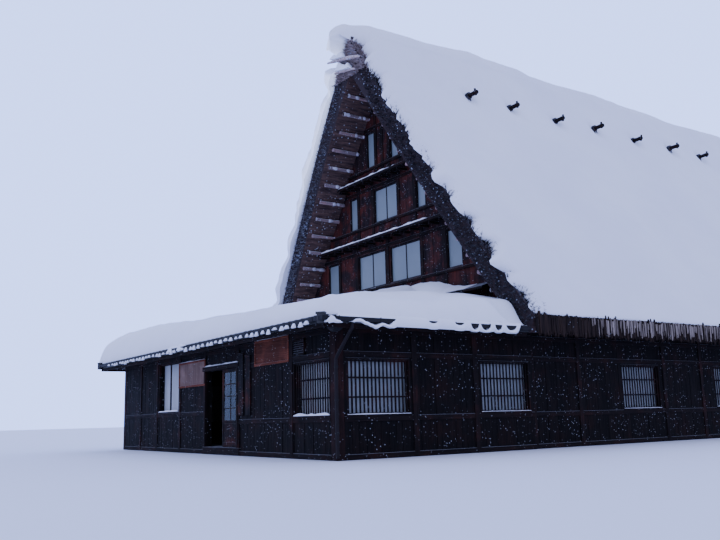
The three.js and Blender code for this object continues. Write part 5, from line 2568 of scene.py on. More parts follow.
def low_walls() -> LowWalls:
    """The walls of the ground storey with their windows.

    Returns:
        The walls, read from the frame where it has them.
    """
    rise = (0.943, 2.148)
    head, house_head, bars = 2.955, 3.4, 0.107
    front, right, left = (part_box(f"annex_wall_{name}") for name in ("front_right", "right", "left"))
    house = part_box("long_wall_right")[1]
    facing = WallPlane(Axis.X, front[0].y, -1)
    side_run, corner = (-5.72, -0.01), Hole((-5.64, -3.95), rise)
    long_run = {"holes": tuple(Hole(span, rise) for span in ((3.6, 5.25), (8.0, 9.65), (12.4, 14.05)))}
    long_run.update(bars=bars, posts=(0.07, 1.83, 5.49, 7.32, 10.98, 14.64, 17.38))
    return LowWalls(
        (
            WallSpec("front_right", facing, (1.2, 5.82), head, holes=(Hole((4.215, 5.77), rise),),
                     bars=bars, posts=(1.27, 4.1)),
            WallSpec("front_left", facing, (-7.72, -0.8), head, holes=(Hole((-4.5, -2.85), (1.2, 2.7)),),
                     rails=(0.0, 1.05, 2.76), posts=(-6.2, -4.66, -2.74, -0.87)),
            WallSpec("over_door", facing, (-0.8, 1.2), head, foot=2.27, rails=(2.72,)),
            WallSpec("side_right", WallPlane(Axis.Y, right[1].x, 1), side_run, head,
                     holes=(corner, Hole((-1.795, -0.152), rise)), bars=bars, posts=(-3.8, -1.95)),
            WallSpec("side_left", WallPlane(Axis.Y, left[0].x, -1), side_run, head,
                     holes=(corner, Hole((-2.195, -0.552), rise)), bars=bars, posts=(-3.8, -2.35)),
            WallSpec("long_right", WallPlane(Axis.Y, house.x, 1), (0.0, house.y), house_head, **long_run),
            WallSpec("long_left", WallPlane(Axis.Y, -house.x, -1), (0.16, house.y), house_head, **long_run),
            WallSpec("back", WallPlane(Axis.X, house.y, 1), (-5.75, 5.75), 3.04,
                     holes=(Hole((-4.3, -2.65), rise), Hole((2.65, 4.3), rise)), bars=bars,
                     posts=(-5.68, -1.83, 0.0, 1.83, 5.68)),
            WallSpec("return", WallPlane(Axis.X, 0.0, 1), (-7.74, -5.92), 2.8, rails=(0.0, 0.8, 2.2)),
        )
    )


@dataclass(frozen=True)
class Eave:
    """One eave of the lean-to: the upright plane of its edge and its span along that."""

    name: str
    plane: WallPlane
    run: Span

    def spaced(self, margin: float, step: float) -> tuple[int, float]:
        """How many copies stand in a row along the eave, and how far apart.

        Args:
            margin: The bare length at each end.
            step: About how far apart they stand.

        Returns:
            Their number and the exact step.
        """
        length = self.run[1] - self.run[0] - 2 * margin
        count = round(length / step)
        return count, length / (count - 1)


@dataclass
class LeanToRoof:
    """Rafters, edge boards and round tile ends of the lean-to, with the gutter's hooks."""

    pitch: float = 0.22
    plate: float = 0.14
    right_end: float = -0.76
    left_end: float = 0.12
    rafter_step: float = 0.45
    rafter_margin: float = 0.15
    rafter: Span = (0.06, 0.08)
    rafter_in: float = 0.04
    overhang: float = 0.7
    tile_step: float = 0.27
    tile_margin: float = 0.1
    tile_path: tuple[Span, ...] = ((-0.2, 0.044), (-0.004, 0.0), (0.018, -0.002))
    tile_radii: Place = (0.052, 0.056, 0.048)
    tile_down: Span = (0.02, 0.03)
    tiles: Uneven = Uneven((0.003, 0.003, 0.003))
    lip: Span = (0.1, 0.035)
    lip_half: float = 0.03
    lip_out: Span = (-0.06, 0.012)
    lip_parts: int = 6
    board_in: Span = (0.075, 0.035)
    board_down: Span = (0.23, 0.145)
    board_short: float = 0.02
    course: Span = (0.16, 0.03)
    course_short: float = 0.005
    corner_in: float = 0.06
    corner: Place = (0.04, -0.08, -0.16)
    corner_boxes: tuple[tuple[float, float, float, float], ...] = (
        (0.075, 0.12, 0.0, 0.2), (0.1, 0.15, 0.19, 0.235)
    )
    hook_step: float = 0.92
    hook_margin: float = 0.3
    hook_half: float = 0.014
    hook_out: float = 0.118
    hook_thick: float = 0.006
    pipe_half: float = 0.038
    hopper: tuple[Span, ...] = ((2.72, 0.06), (2.8, 0.13), (2.885, 0.14))
    strap_heights: Place = (0.55, 1.25, 1.95)
    strap_radius: float = 0.046
    strap_height: float = 0.035

    def build(self, shop: Workshop) -> None:
        """Builds the eaves of all three sides.

        Args:
            shop: What it builds with.
        """
        low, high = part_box("annex_roof_front")[0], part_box("annex_roof_right")[1]
        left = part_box("annex_roof_left")[0].x
        edge = low.z + self.plate
        eaves = (
            Eave("front", WallPlane(Axis.X, low.y, -1), (left, high.x)),
            Eave("right", WallPlane(Axis.Y, high.x, 1), (low.y, self.right_end)),
            Eave("left", WallPlane(Axis.Y, left, -1), (low.y, self.left_end)),
        )
        rafters, tiles, boards, course = [], [], Draft(), Draft()
        board_z = (edge - self.board_down[0], edge - self.board_down[1])
        board_out = (-self.board_in[0], -self.board_in[1])
        for eave in eaves:
            rafters.append(self._rafters(shop, eave, edge))
            tiles += self._tiles(shop, eave, edge)
            start, end = eave.run
            short = self.board_short
            eave.plane.block(boards, (start + short, end - short), board_out, board_z, 0.5)
            (deep, tall), short = self.course, self.course_short
            run = (start + short, end - short)
            eave.plane.block(course, run, (-deep, 0.0), (edge, edge + tall), 0.4)
        across, out, up = self.corner
        for x, turn in ((high.x - self.corner_in, 1), (left + self.corner_in, -1)):
            self._corner_box(course, Vector((x + across * turn, low.y + out, edge + up)), turn)
        tiles.append(course.piece("tile_course"))
        shop.dress(merge("eave_rafters", rafters), shop.timber)
        shop.dress(merge("eave_tiles", tiles), shop.tiles)
        shop.dress(boards.piece("eave_boards"), shop.beams_x)
        self._hooks(shop, eaves[:2])
        self._pipe(shop)

    def _corner_box(self, draft: Draft, foot: Vector, turn: int) -> None:
        """The upright box at a corner of the eaves, with its cap.

        Args:
            draft: What it is added to.
            foot: The middle of its inner edge, at its foot.
            turn: 1 at the right corner, -1 at the left one.
        """
        out = Vector((turn, -1, 0)).normalized()
        across = Vector((-out.y, out.x, 0))
        outline = ((-1, -1), (1, -1), (1, 0), (-1, 0))
        for half, thick, low, high in self.corner_boxes:
            corners = [foot + across * (a * half) + out * (b * thick) for a, b in outline]
            draft.prism([p + Vector((0, 0, low)) for p in corners], Vector((0, 0, high - low)), 0.3)

    def _rafters(self, shop: Workshop, eave: Eave, edge: float) -> bpy.types.Object:
        """Rafter ends between the wall and the eave.

        Args:
            shop: What it builds with.
            eave: The eave.
            edge: The height of the roof plates' upper edge at the eave.

        Returns:
            The rafters as one mesh.
        """
        shape = Draft()
        origin, inset = eave.plane.at_origin, self.rafter_in
        foot = origin.at(0, -inset, 0)
        head = origin.at(0, -self.overhang, self.pitch * (self.overhang - inset))
        wide, tall = self.rafter
        shape.bar(foot, head, origin.ahead * wide, Vector((0, 0, tall)))
        count, step = eave.spaced(self.rafter_margin, self.rafter_step)
        z = edge - self.plate - 0.042 + inset * self.pitch
        start = eave.plane.at(eave.run[0] + self.rafter_margin, 0.0, z)
        return shop.row.run(
            f"rafters_{eave.name}", shape, shop.timber.material(shop.groups), count=count, start=tuple(start),
            step=tuple(eave.plane.ahead * step), seed=2
        )

    def _tiles(self, shop: Workshop, eave: Eave, edge: float) -> list[bpy.types.Object]:
        """Round tile ends and the lipped tiles between them.

        Args:
            shop: What it builds with.
            eave: The eave.
            edge: The height of the roof plates' upper edge at the eave.

        Returns:
            The round ends and the lips.
        """
        round_end, lip = Draft(), Draft()
        origin = eave.plane.at_origin
        path = [origin.at(0, out, z) for out, z in self.tile_path]
        round_end.tube(path, self.tile_radii, sides=12)
        wide, deep = self.lip
        for k in range(self.lip_parts):
            turn = math.pi * (k + 0.5) / self.lip_parts
            u, z = wide * math.cos(turn), -deep * math.sin(turn)
            half = self.lip_half
            origin.block(lip, (u - half, u + half), self.lip_out, (z - half, z + 0.012))
        count, step = eave.spaced(self.tile_margin, self.tile_step)
        shared = {"step": tuple(eave.plane.ahead * step), "seed": 4, **asdict(self.tiles)}
        material = shop.tiles.material(shop.groups)
        parts = []
        for kind, shape, half in (("rounds", round_end, 0.0), ("lips", lip, 0.5)):
            u = eave.run[0] + self.tile_margin + half * step
            start = tuple(eave.plane.at(u, 0.0, edge - self.tile_down[0] - half * self.tile_down[1]))
            name = f"tile_{kind}_{eave.name}"
            here = count - len(parts)
            parts.append(shop.row.run(name, shape, material, count=here, start=start, **shared))
        return parts

    def _hooks(self, shop: Workshop, eaves: Sequence[Eave]) -> None:
        """Iron hooks under the gutter.

        Args:
            shop: What it builds with.
            eaves: The eaves with a gutter.
        """
        low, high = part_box("gutter")
        wide, out, thick = (-self.hook_half, self.hook_half), self.hook_out, self.hook_thick
        hooks = []
        for eave in eaves:
            shape = Draft()
            origin = eave.plane.at_origin
            origin.block(shape, wide, (-0.02, out), (-thick, 0.0))
            origin.block(shape, wide, (out - thick, out), (0.0, high.z - low.z + 0.012))
            origin.block(shape, wide, (-0.03, -0.006), (-thick, 0.05))
            count, step = eave.spaced(self.hook_margin, self.hook_step)
            start = tuple(eave.plane.at(eave.run[0] + self.hook_margin, 0.0, low.z))
            material = shop.metal.material(shop.groups)
            step = tuple(eave.plane.ahead * step)
            name = f"hooks_{eave.name}"
            hooks.append(shop.row.run(name, shape, material, count=count, start=start, step=step, seed=6))
        shop.dress(merge("gutter_hooks", hooks), shop.metal)

    def _pipe(self, shop: Workshop) -> None:
        """The rain hopper on the downpipe, and the straps round that.

        Args:
            shop: What it builds with.
        """
        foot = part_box("downpipe")[0]
        x, y = foot.x + self.pipe_half, foot.y + self.pipe_half
        straps = Draft()
        straps.rings(
            [[Vector((x + a * half, y + b * half, z)) for a, b in SQUARE] for z, half in self.hopper]
        )
        for z in self.strap_heights:
            middle = Vector((x, y, z))
            ends = [middle, middle + Vector((0, 0, self.strap_height))]
            straps.tube(ends, [self.strap_radius] * 2, sides=16)
        shop.dress(straps.piece("pipe_straps", crease=50), shop.metal)


@dataclass
class LeanToSnow:
    """The blanket over the lean-to and the drift against the gable over it.

    `wall_drift` and `front_drift` give extra depth by the place along the front, close to the gable and over
    the front slope. `right_over` gives how far the blanket hangs over the right eave along Y, `pent_line` how
    deep the drift on the small roof is, and `corner_strip` the height and the thickness of the snow along the
    right gutter near the corner. Each slot is the middle of an opening in that snow farther back, half its
    length and its depth.
    """

    pitch: float = 0.22
    depth: float = 0.45
    heap: float = 0.17
    rim: float = 0.42
    set_back: float = 0.04
    left_over: float = 0.42
    columns: int = 150
    rows: int = 64
    wall_drift: tuple[Span, ...] = (
        (-7.2, 0.0), (-6.0, 0.4), (-5.2, 0.42), (-3.9, 0.38), (-2.3, 0.19), (-1.3, 0.12), (-0.6, 0.09),
        (0.0, 0.06), (0.5, 0.01), (1.0, 0.0), (1.3, 0.06), (1.6, 0.27), (1.85, 0.3), (2.2, 0.12), (3.0, 0.0)
    )
    front_drift: tuple[Span, ...] = (
        (-8.4, 0.5), (-6.2, 0.5), (-2.5, 0.31), (0.0, 0.15), (1.7, 0.11), (2.5, 0.05), (3.8, 0.03),
        (4.8, -0.07), (5.6, -0.07), (6.3, -0.04)
    )
    right_over: tuple[Span, ...] = ((-4.93, -0.03), (-4.73, 0.08), (-2.8, 0.08), (-2.55, 0.0))
    lump_step: float = 0.285
    corner_strip: tuple[Place, ...] = (
        (-6.62, -0.1, 0.08), (-6.57, -0.01, 0.14), (-6.5, 0.05, 0.17), (-6.44, 0.04, 0.15),
        (-6.39, -0.03, 0.09), (-6.31, -0.05, 0.07), (-6.24, -0.1, 0.05), (-6.0, -0.07, 0.05),
        (-5.88, 0.0, 0.08), (-5.78, 0.01, 0.09), (-5.62, -0.05, 0.08), (-5.5, -0.09, 0.08),
        (-5.38, -0.12, 0.09), (-5.2, -0.06, 0.08), (-5.02, -0.1, 0.08), (-4.9, 0.0, 0.17), (-4.8, 0.1, 0.24)
    )
    corner_end: Span = (-4.8, -4.85)
    strips: tuple[Span, ...] = ((-6.62, -6.24), (-6.0, -1.13))
    strip_step: float = 0.025
    strip_thick: Span = (0.24, 0.84)
    slots: tuple[Place, ...] = (
        (-3.82, 0.15, 0.1), (-3.05, 0.16, 0.11), (-2.59, 0.14, 0.21), (-2.25, 0.17, 0.21),
        (-1.85, 0.13, 0.2), (-1.43, 0.19, 0.18)
    )
    pent_line: tuple[Span, ...] = (
        (1.3, 0.42), (1.57, 0.42), (2.0, 0.38), (2.45, 0.3), (2.81, 0.22), (3.25, 0.1), (3.7, 0.02),
        (4.15, 0.01)
    )
    heap_x: Span = (3.2, 4.6)
    heap_y: Span = (-3.8, -2.2)
    weather: Waves = ((0.09, 2.2, 12.0), (0.06, 0.7, 14.0), (0.03, 0.25, 15.0))
    right_back: Span = (5.3, 5.5)
    left_backs: tuple[Span, Span] = ((-7.3, -7.1), (-4.95, -4.75))
    pent_backs: tuple[Span, Span] = ((1.2, 1.3), (4.9, 5.0))
    backs: Place = (0.76, 0.92, 0.62)
    slid: Span = (-1.9, -1.1)
    lump_ends: float = 1.6
    lump_rings: tuple[Span, ...] = (
        (-0.08, 0.1), (-0.06, 0.7), (-0.025, 1.0), (0.025, 1.0), (0.06, 0.65), (0.08, 0.1)
    )
    lump_outline: tuple[Span, ...] = (
        (-0.075, 0.0), (-0.105, -0.004), (-0.125, -0.05), (-0.11, -0.095), (-0.085, -0.11), (-0.07, -0.06)
    )
    lump_drop: float = 0.11
    lump_start: Place = (1.4, -0.04, 0.075)
    lumps: Uneven = Uneven((0.05, 0.01, 0.004), (0.75, 0.8, 0.5), (1.05, 1.1, 1.1))
    long_lump: Span = (-1.98, -0.55)
    pent_rings: int = 90
    pent_turns: int = 10
    pent_gap: float = 0.004
    pent_reach: float = 0.02
    pent_thick: float = 0.07
    strip_outline: tuple[Span, ...] = ((-0.05, 0.0), (0.08, 0.0), (0.14, 0.25), (0.15, 0.7), (0.1, 1.0))
    strip_rise: float = 0.1
    strip_least: float = 0.035
    lip_outline: tuple[Place, ...] = (
        (-0.08, 0.1, 0.0), (0.05, 0.1, 0.0), (0.09, 0.04, 1.0), (0.08, 0.0, 1.0), (-0.03, 0.0, 1.0)
    )
    lip_rings: int = 110
    lip_start: float = 0.3
    lip_wave: Place = (0.012, 0.3, 45.0)
    lip_sag: float = 0.025
    lip_sag_from: Span = (-4.6, -4.9)

    def build(self, shop: Workshop) -> None:
        """Builds the blanket, the pent roof's drift and the rolls along the eaves.

        Args:
            shop: What it builds with.
        """
        self._blanket(shop)
        self._pent(shop)
        self._front_lumps(shop)
        self._right_roll(shop)

    def _limits(self) -> tuple[Vector, Vector]:
        """The plan of the lean-to's roof."""
        low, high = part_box("annex_roof_left")[0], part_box("annex_roof_right")[1]
        return low, high

    def _bed(self, x: float, y: float) -> float:
        """The roof's surface at a place.

        Args:
            x: The place along the front.
            y: The place along the ridge.

        Returns:
            The height.
        """
        low, high = self._limits()
        run = min(y - low.y, x - low.x, high.x - x)
        return low.z + 0.14 + self.pitch * max(run, -self.left_over) + 0.001

    def _back(self, x: float) -> float:
        """How far back the snow goes, which is less before the ends of the thatch and under the pent roof.

        Args:
            x: The place along the front.

        Returns:
            The place along the ridge where it ends.
        """
        right = ease(*self.right_back, x)
        left, pent = (ease(*start, x) - ease(*end, x) for start, end in (self.left_backs, self.pent_backs))
        return -0.002 - self.backs[0] * right - self.backs[1] * left - self.backs[2] * pent

    def _height(self, x: float, y: float) -> float:
        """The snow's depth at a place, without its rounded rim.

        Args:
            x: The place along the front.
            y: The place along the ridge.

        Returns:
            The depth.
        """
        heap = self.heap * ease(*self.heap_x, x) * ease(*self.heap_y, y)
        wall = from_table(self.wall_drift, x)[0] * math.exp(-((y + 0.3) ** 2))
        front = from_table(self.front_drift, x)[0] * math.exp(-(((y + 5.4) / 1.6) ** 2))
        return (self.depth + heap + wall + front) * waves(Vector((x, y, 0)), self.weather, 1.0)

    @staticmethod
    def _packed(low: float, high: float, count: int, both: bool, rim: float) -> list[float]:
        """Values from low to high, close together at a rounded rim.

        Args:
            low: The first value.
            high: The last value.
            count: How many lie between the rims.
            both: Whether there is a rim at the high end too.
            rim: How wide a rim is.

        Returns:
            The values, in order.
        """
        turns = [rim * (1 - math.cos(k / 8 * math.pi / 2)) for k in range(8)]
        start = [low + t for t in turns]
        end = [high - t for t in reversed(turns)] if both else [high]
        return start + spread(low + rim, high - (rim if both else 0.0), count)[: None if both else -1] + end

    def _blanket(self, shop: Workshop) -> None:
        """The blanket on the lean-to, with a full underside.

        Args:
            shop: What it builds with.
        """
        low, high = self._limits()
        xs = self._packed(low.x - self.left_over, high.x, self.columns, True, self.rim)
        shares = self._packed(0.0, 1.0, self.rows, False, self.rim / 6.6)
        top, under = [], []
        for along in xs:
            back = self._back(along)
            first = low.y + self.set_back * ease(low.x, low.x + 0.6, along)
            over_row, under_row = [], []
            for y in (blend(first, back, s) for s in shares):
                right = from_table(self.right_over, y)[0]
                x = along + right * ease(high.x - 1.2, high.x, along)
                bed = self._bed(x, y)
                full = self._rim_share(along - xs[0], x, y) * self._rim_share(y - first, x, y)
                inside = xs[-1] - along
                full *= blend(self._rim_share(inside, x, y), self._low_share(inside), ease(*self.slid, y))
                if back < -0.5:
                    share = min(1.0, (back - y) / 0.2 + 0.7)
                    full *= math.sqrt(max(0.0, 1 - (1 - share) ** 2))
                over_row.append(Vector((x, y, bed + self._height(x, y) * full)))
                under_row.append(Vector((x, y, bed)))
            rim_point = Vector((over_row[-1].x, over_row[-1].y, under_row[-1].z))
            top.append([*over_row, rim_point])
            under.append([*under_row, rim_point])
        draft = Draft()
        draft.blanket(top, under)
        shop.dress(draft.piece("lean_to_snow", crease=70), shop.snow, replaces=("annex_snow",))

    def _rim_share(self, distance: float, x: float, y: float) -> float:
        """The share of the full depth at a distance from an edge, with a rounded rim.

        Args:
            distance: The distance from the edge.
            x: The place along the front.
            y: The place along the ridge.

        Returns:
            The share, from 0 to 1.
        """
        soft = self.rim * (1 + 0.25 * wave(Vector((x, y, 0)), 0.9, 30.0))
        share = min(1.0, max(0.0, distance / soft))
        return math.sqrt(max(0.0, 1 - (1 - share) ** 2))

    @staticmethod
    def _low_share(distance: float) -> float:
        """The share of the full depth where the snow has slid down to a thin edge."""
        return 0.05 * ease(0.0, 0.03, distance) + 0.95 * ease(0.12, 0.62, distance)

    def _pent(self, shop: Workshop) -> None:
        """The drift on the small roof at the foot of the gable.

        Args:
            shop: What it builds with.
        """
        low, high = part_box("pent_roof")
        draft = Draft()
        rings = []
        wide, thick, gap = abs(low.y), self.pent_thick, self.pent_gap
        for x in spread(low.x + 0.02, self.pent_line[-1][0], self.pent_rings):
            deepest = from_table(self.pent_line, x)[0] * (1 + 0.12 * wave(Vector((x, 0, 0)), 0.6, 22.0))
            ring = []
            for k in range(self.pent_turns + 1):
                turn = math.pi / 2 * k / self.pent_turns
                y = -gap - (wide + self.pent_reach) * math.sin(turn)
                bed = blend(high.z, low.z + thick, min(1.0, -y / wide)) + 0.002
                ring.append(Vector((x, y, bed + max(0.01, deepest * math.cos(turn) ** 0.5))))
            ring.append(Vector((x, low.y, low.z + thick + 0.002)))
            ring.append(Vector((x, -gap, high.z + 0.002)))
            rings.append(ring)
        draft.rings(rings)
        shop.dress(draft.piece("pent_drift", crease=65), shop.snow, replaces=("pent_snow",))

    def _front_lumps(self, shop: Workshop) -> None:
        """Lumps of snow that hang in a row over the front gutter, and a longer one at its left end.

        Args:
            shop: What it builds with.
        """
        low, high = self._limits()
        lump = Draft()
        outline, drop = self.lump_outline, self.lump_drop
        lump.rings(
            [[Vector((u, y, (z + drop) * share - drop)) for y, z in outline] for u, share in self.lump_rings]
        )
        count = round((high.x - low.x - self.lump_ends) / self.lump_step)
        step = (high.x - low.x - self.lump_ends) / count
        start = tuple(corner + shift for corner, shift in zip(low, self.lump_start))
        values = {"start": start, "step": (step, 0.0, 0.0), **asdict(self.lumps)}
        material = shop.snow.material(shop.groups)
        parts = [shop.row.run("front_lumps", lump, material, count=count, seed=12, **values)]
        roll = Draft()
        edge = WallPlane(Axis.X, low.y, -1)
        ends = [edge.at(u, -0.03, low.z + 0.04) for u in self.long_lump]
        SnowRoll(0.16, 0.15, lumps=0.5, seed=8.0).lay(roll, *ends, edge.outward)
        parts.append(roll.piece("long_lump", crease=70))
        shop.dress(merge("gutter_snow_front", parts), shop.snow)

    def _slot(self, y: float) -> float:
        """How deep the opening in the snow along the right gutter is at a place."""
        return max(deep * math.sqrt(max(0.0, 1 - ((y - at) / half) ** 2)) for at, half, deep in self.slots)

    def _right_roll(self, shop: Workshop) -> None:
        """The strip of snow along the right gutter: lumps under it near the corner, then loops over it.

        Args:
            shop: What it builds with.
        """
        low, high = self._limits()
        draft = Draft()
        top = low.z + self.strip_rise
        for start, end in self.strips:
            rings = []
            for y in spread(start, end, round((end - start) / self.strip_step)):
                near, slot = ease(*self.corner_end, y), self._slot(y)
                taper = min(1.0, ease(0.0, 0.1, y - start) + 0.2, ease(0.0, 0.1, end - y) + 0.2)
                strip, thick = from_table(self.corner_strip, y)
                rise = blend(self.strip_rise - slot, strip, near)
                full, lost = self.strip_thick
                deep = max(self.strip_least, blend(full - lost * slot, thick, near)) * taper
                outline = [(out, rise - down * deep) for out, down in self.strip_outline]
                rings.append([Vector((high.x + out, y, top + z)) for out, z in outline])
            draft.rings(rings)
        lip = []
        deep, size, seed = self.lip_wave
        for y in spread(low.y + self.lip_start, self.strips[-1][1], self.lip_rings):
            drop = deep * wave(Vector((0, y, 0)), size, seed) - self.lip_sag * ease(*self.lip_sag_from, y)
            outline = [(out, z + share * drop) for out, z, share in self.lip_outline]
            lip.append([Vector((high.x + out, y, top + z)) for out, z in outline])
        draft.rings(lip)
        shop.dress(draft.piece("gutter_snow_right", crease=70), shop.snow)


@dataclass
class DoorLeaf:
    """One glazed door leaf over a boarded foot."""

    node: str
    body: Body
    stile: float = 0.085
    rail: float = 0.09
    muntin: float = 0.024
    rows: int = 4
    kick: float = 0.7
    clear: float = 0.006
    lug: float = 0.09
    pane: float = 0.006
    pane_in: float = 0.004
    foot_rail: float = 1.4
    rail_back: float = 0.002
    muntin_back: float = 0.006
    lug_back: float = 0.009
    lug_lap: float = 0.002
    board_back: float = 0.011
    board_gap: float = 0.002
    boards: int = 6

    def build(self, shop: Workshop) -> None:
        """Builds the leaf's wood and its panes, in place of the frame's leaf.

        Args:
            shop: What it builds with.
        """
        low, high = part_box(self.node)
        wood, glass = Draft(), Draft()
        (x0, x1), (y0, y1) = (low.x, high.x), (low.y, high.y)
        foot, head = low.z + self.clear, high.z - self.clear
        kick, top = foot + self.kick, head - self.rail
        for start, end in ((x0, x0 + self.stile), (x1 - self.stile, x1)):
            wood.box((start, y0, foot), (end, y1, head), 0.6)
        left, right = x0 + self.stile, x1 - self.stile
        low_rail = foot + self.rail * self.foot_rail
        front, back = y0 + self.rail_back, y1 - self.rail_back
        for z in ((foot, low_rail), (kick - self.rail, kick), (top, head)):
            wood.box((left, front, z[0]), (right, back, z[1]), 0.5)
        self._boards(wood, (left, right), (low_rail, kick - self.rail), (y0, y1))
        half, front, back = self.muntin / 2, y0 + self.muntin_back, y1 - self.muntin_back
        middle = 0.5 * (left + right)
        wood.box((middle - half, front, kick), (middle + half, back, top), 0.5)
        for i in range(1, self.rows):
            z = blend(kick, top, i / self.rows)
            wood.box((left, front, z - half), (right, back, z + half), 0.45)
        front, back = y0 + self.lug_back, y1 - self.lug_back
        for lug in (x0 + self.lug, x1 - 2 * self.lug):
            wood.box((lug, front, low.z), (lug + self.lug, back, foot + self.lug_lap), 0.2)
            wood.box((lug, front, head - self.lug_lap), (lug + self.lug, back, high.z), 0.2)
        depth, into, half = 0.5 * (y0 + y1), self.pane_in, self.pane / 2
        glass.box((left - into, depth - half, kick - into), (right + into, depth + half, top + into))
        shop.dress(soften(wood.piece(f"{self.node}_wood"), 0.003), shop.door, self.body, (self.node,))
        shop.dress(glass.piece(f"{self.node}_glass"), shop.glass, self.body)

    def _boards(self, wood: Draft, u: Span, z: Span, y: Span) -> None:
        """Upright boards in the leaf's foot.

        Args:
            wood: What they are added to.
            u: Their span across the leaf.
            z: Their span in height.
            y: The leaf's front and back.
        """
        edges = spread(u[0], u[1], self.boards + 1)
        for i, (a, b) in enumerate(zip(edges, edges[1:])):
            tone = 0.2 + 0.6 * ((i * 5) % self.boards) / self.boards
            front, back = y[0] + self.board_back, y[1] - self.board_back
            wood.box((a + self.board_gap, front, z[0]), (b - self.board_gap, back, z[1]), tone)


@dataclass
class Entrance:
    """The entrance: both leaves, their frame, and the boards that hang beside it."""

    jamb: float = 0.1
    head: float = 2.27
    beyond: float = 0.16
    lintel_out: float = 0.085
    sill_out: float = 0.06
    sill_top: float = 0.195
    lintel: Span = (0.004, 0.13)
    post_out: float = 0.07
    post_foot: float = 0.2
    post_over: float = 0.12
    snow_in: float = 0.02
    snow_out: float = 0.01
    snow_size: Span = (0.075, 0.045)
    board_out: Span = (0.03, 0.062)
    cap_out: Span = (0.025, 0.075)
    cap_over: float = 0.012
    cap_high: float = 0.035
    hanging: tuple[tuple[Span, Span], ...] = (((1.31, 1.61), (1.02, 2.58)), ((1.73, 2.01), (1.02, 2.5)))

    def build(self, shop: Workshop) -> None:
        """Builds the leaves, the frame and the boards.

        Args:
            shop: What it builds with.
        """
        DoorLeaf("entrance_leaf_fixed", Body.HOUSE).build(shop)
        DoorLeaf("entrance_leaf_sliding", Body.DOOR).build(shop)
        low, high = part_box("annex_wall_over_door")
        wall = WallPlane(Axis.X, low.y, -1)
        frame, beams, boards, snow = Draft(), Draft(), Draft(), Draft()
        for span in ((low.x - self.jamb, low.x), (high.x, high.x + self.jamb)):
            rise = (self.post_foot, self.head + self.post_over)
            wall.block(frame, span, (0.0, self.post_out), rise, 0.6)
        wide = (low.x - self.beyond, high.x + self.beyond)
        rise = (self.head + self.lintel[0], self.head + self.lintel[1])
        wall.block(beams, wide, (0.0, self.lintel_out), rise, 0.6)
        wall.block(beams, wide, (0.0, self.sill_out), (0.0, self.sill_top), 0.3)
        snowed = (wide[0] + self.snow_in, wide[1] - self.snow_in)
        start, end = (wall.at(u, self.snow_out, self.head + self.post_over) for u in snowed)
        SnowRoll(*self.snow_size, lumps=0.7, seed=2.0).lay(snow, start, end, wall.outward)
        for u, z in self.hanging:
            cap = (u[0] - self.cap_over, u[1] + self.cap_over)
            wall.block(boards, u, self.board_out, z, 0.4)
            wall.block(boards, cap, self.cap_out, (z[1], z[1] + self.cap_high), 0.7)
        shop.dress(soften(frame.piece("entrance_frame"), 0.006), shop.timber)
        shop.dress(soften(beams.piece("entrance_lintel"), 0.006), shop.beams_x)
        shop.dress(soften(boards.piece("hanging_boards"), 0.004), shop.door)
        shop.dress(snow.piece("lintel_snow", crease=75), shop.snow)


@dataclass
class Boards:
    """The framed sign board, the framed wall panel and the louvre under the eave."""

    frame: float = 0.045
    over: float = 0.012
    side_over: float = 0.01
    rail_over: float = 0.014
    depth: Span = (-0.03, 0.018)
    proud: float = 0.002
    snow_at: Span = (-0.028, 0.01)
    snow_size: Span = (0.045, 0.025)
    vent_frame: float = 0.03
    vent_depth: Span = (0.02, 0.07)
    slat_out: float = 0.045
    slat: Place = (0.03, 0.02, 0.008)
    louvre: tuple[Span, Span] = ((4.24, 4.74), (2.36, 2.66))
    slats: int = 6

    def build(self, shop: Workshop) -> None:
        """Builds both frames and the louvre.

        Args:
            shop: What it builds with.
        """
        wood, snow = Draft(), Draft()
        for node in ("sign_board", "wall_panel"):
            low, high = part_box(node)
            wall = WallPlane(Axis.X, low.y, -1)
            w, over = self.frame, self.over
            rail_depth = (self.depth[0], self.depth[1] + self.proud)
            for u in ((low.x - over, low.x + w), (high.x - w, high.x + over)):
                wall.block(wood, u, self.depth, (low.z - self.side_over, high.z + self.side_over), 0.8)
            for z in ((low.z - over, low.z + w), (high.z - w, high.z + over)):
                wall.block(wood, (low.x - self.rail_over, high.x + self.rail_over), rail_depth, z, 0.6)
            out, up = self.snow_at
            start, end = (wall.at(u, out, high.z + up) for u in (low.x, high.x))
            SnowRoll(*self.snow_size, lumps=0.6, seed=low.x).lay(snow, start, end, wall.outward)
        shop.dress(soften(wood.piece("board_frames"), 0.004), shop.sign)
        shop.dress(snow.piece("board_snow", crease=75), shop.snow)
        self._vent(shop)

    def _vent(self, shop: Workshop) -> None:
        """A small louvre in the front wall.

        Args:
            shop: What it builds with.
        """
        wall = WallPlane(Axis.X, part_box("annex_wall_front_right")[0].y, -1)
        (u0, u1), (z0, z1) = self.louvre
        vent = Draft()
        w, depth = self.vent_frame, self.vent_depth
        for u in ((u0 - w, u0), (u1, u1 + w)):
            wall.block(vent, u, depth, (z0 - w, z1 + w), 0.6)
        for z in ((z0 - w, z0), (z1, z1 + w)):
            wall.block(vent, (u0 - w, u1 + w), (depth[0], depth[1] + self.proud), z, 0.6)
        wide, fall, thick = self.slat
        for i in range(self.slats):
            z = blend(z0, z1, (i + 0.5) / self.slats)
            start, end = wall.at(u0, self.slat_out, z), wall.at(u1, self.slat_out, z)
            vent.bar(start, end, wall.outward * wide - Vector((0, 0, fall)), Vector((0, 0, thick)), 0.4)
        shop.dress(vent.piece("wall_louvre"), shop.beams_x)


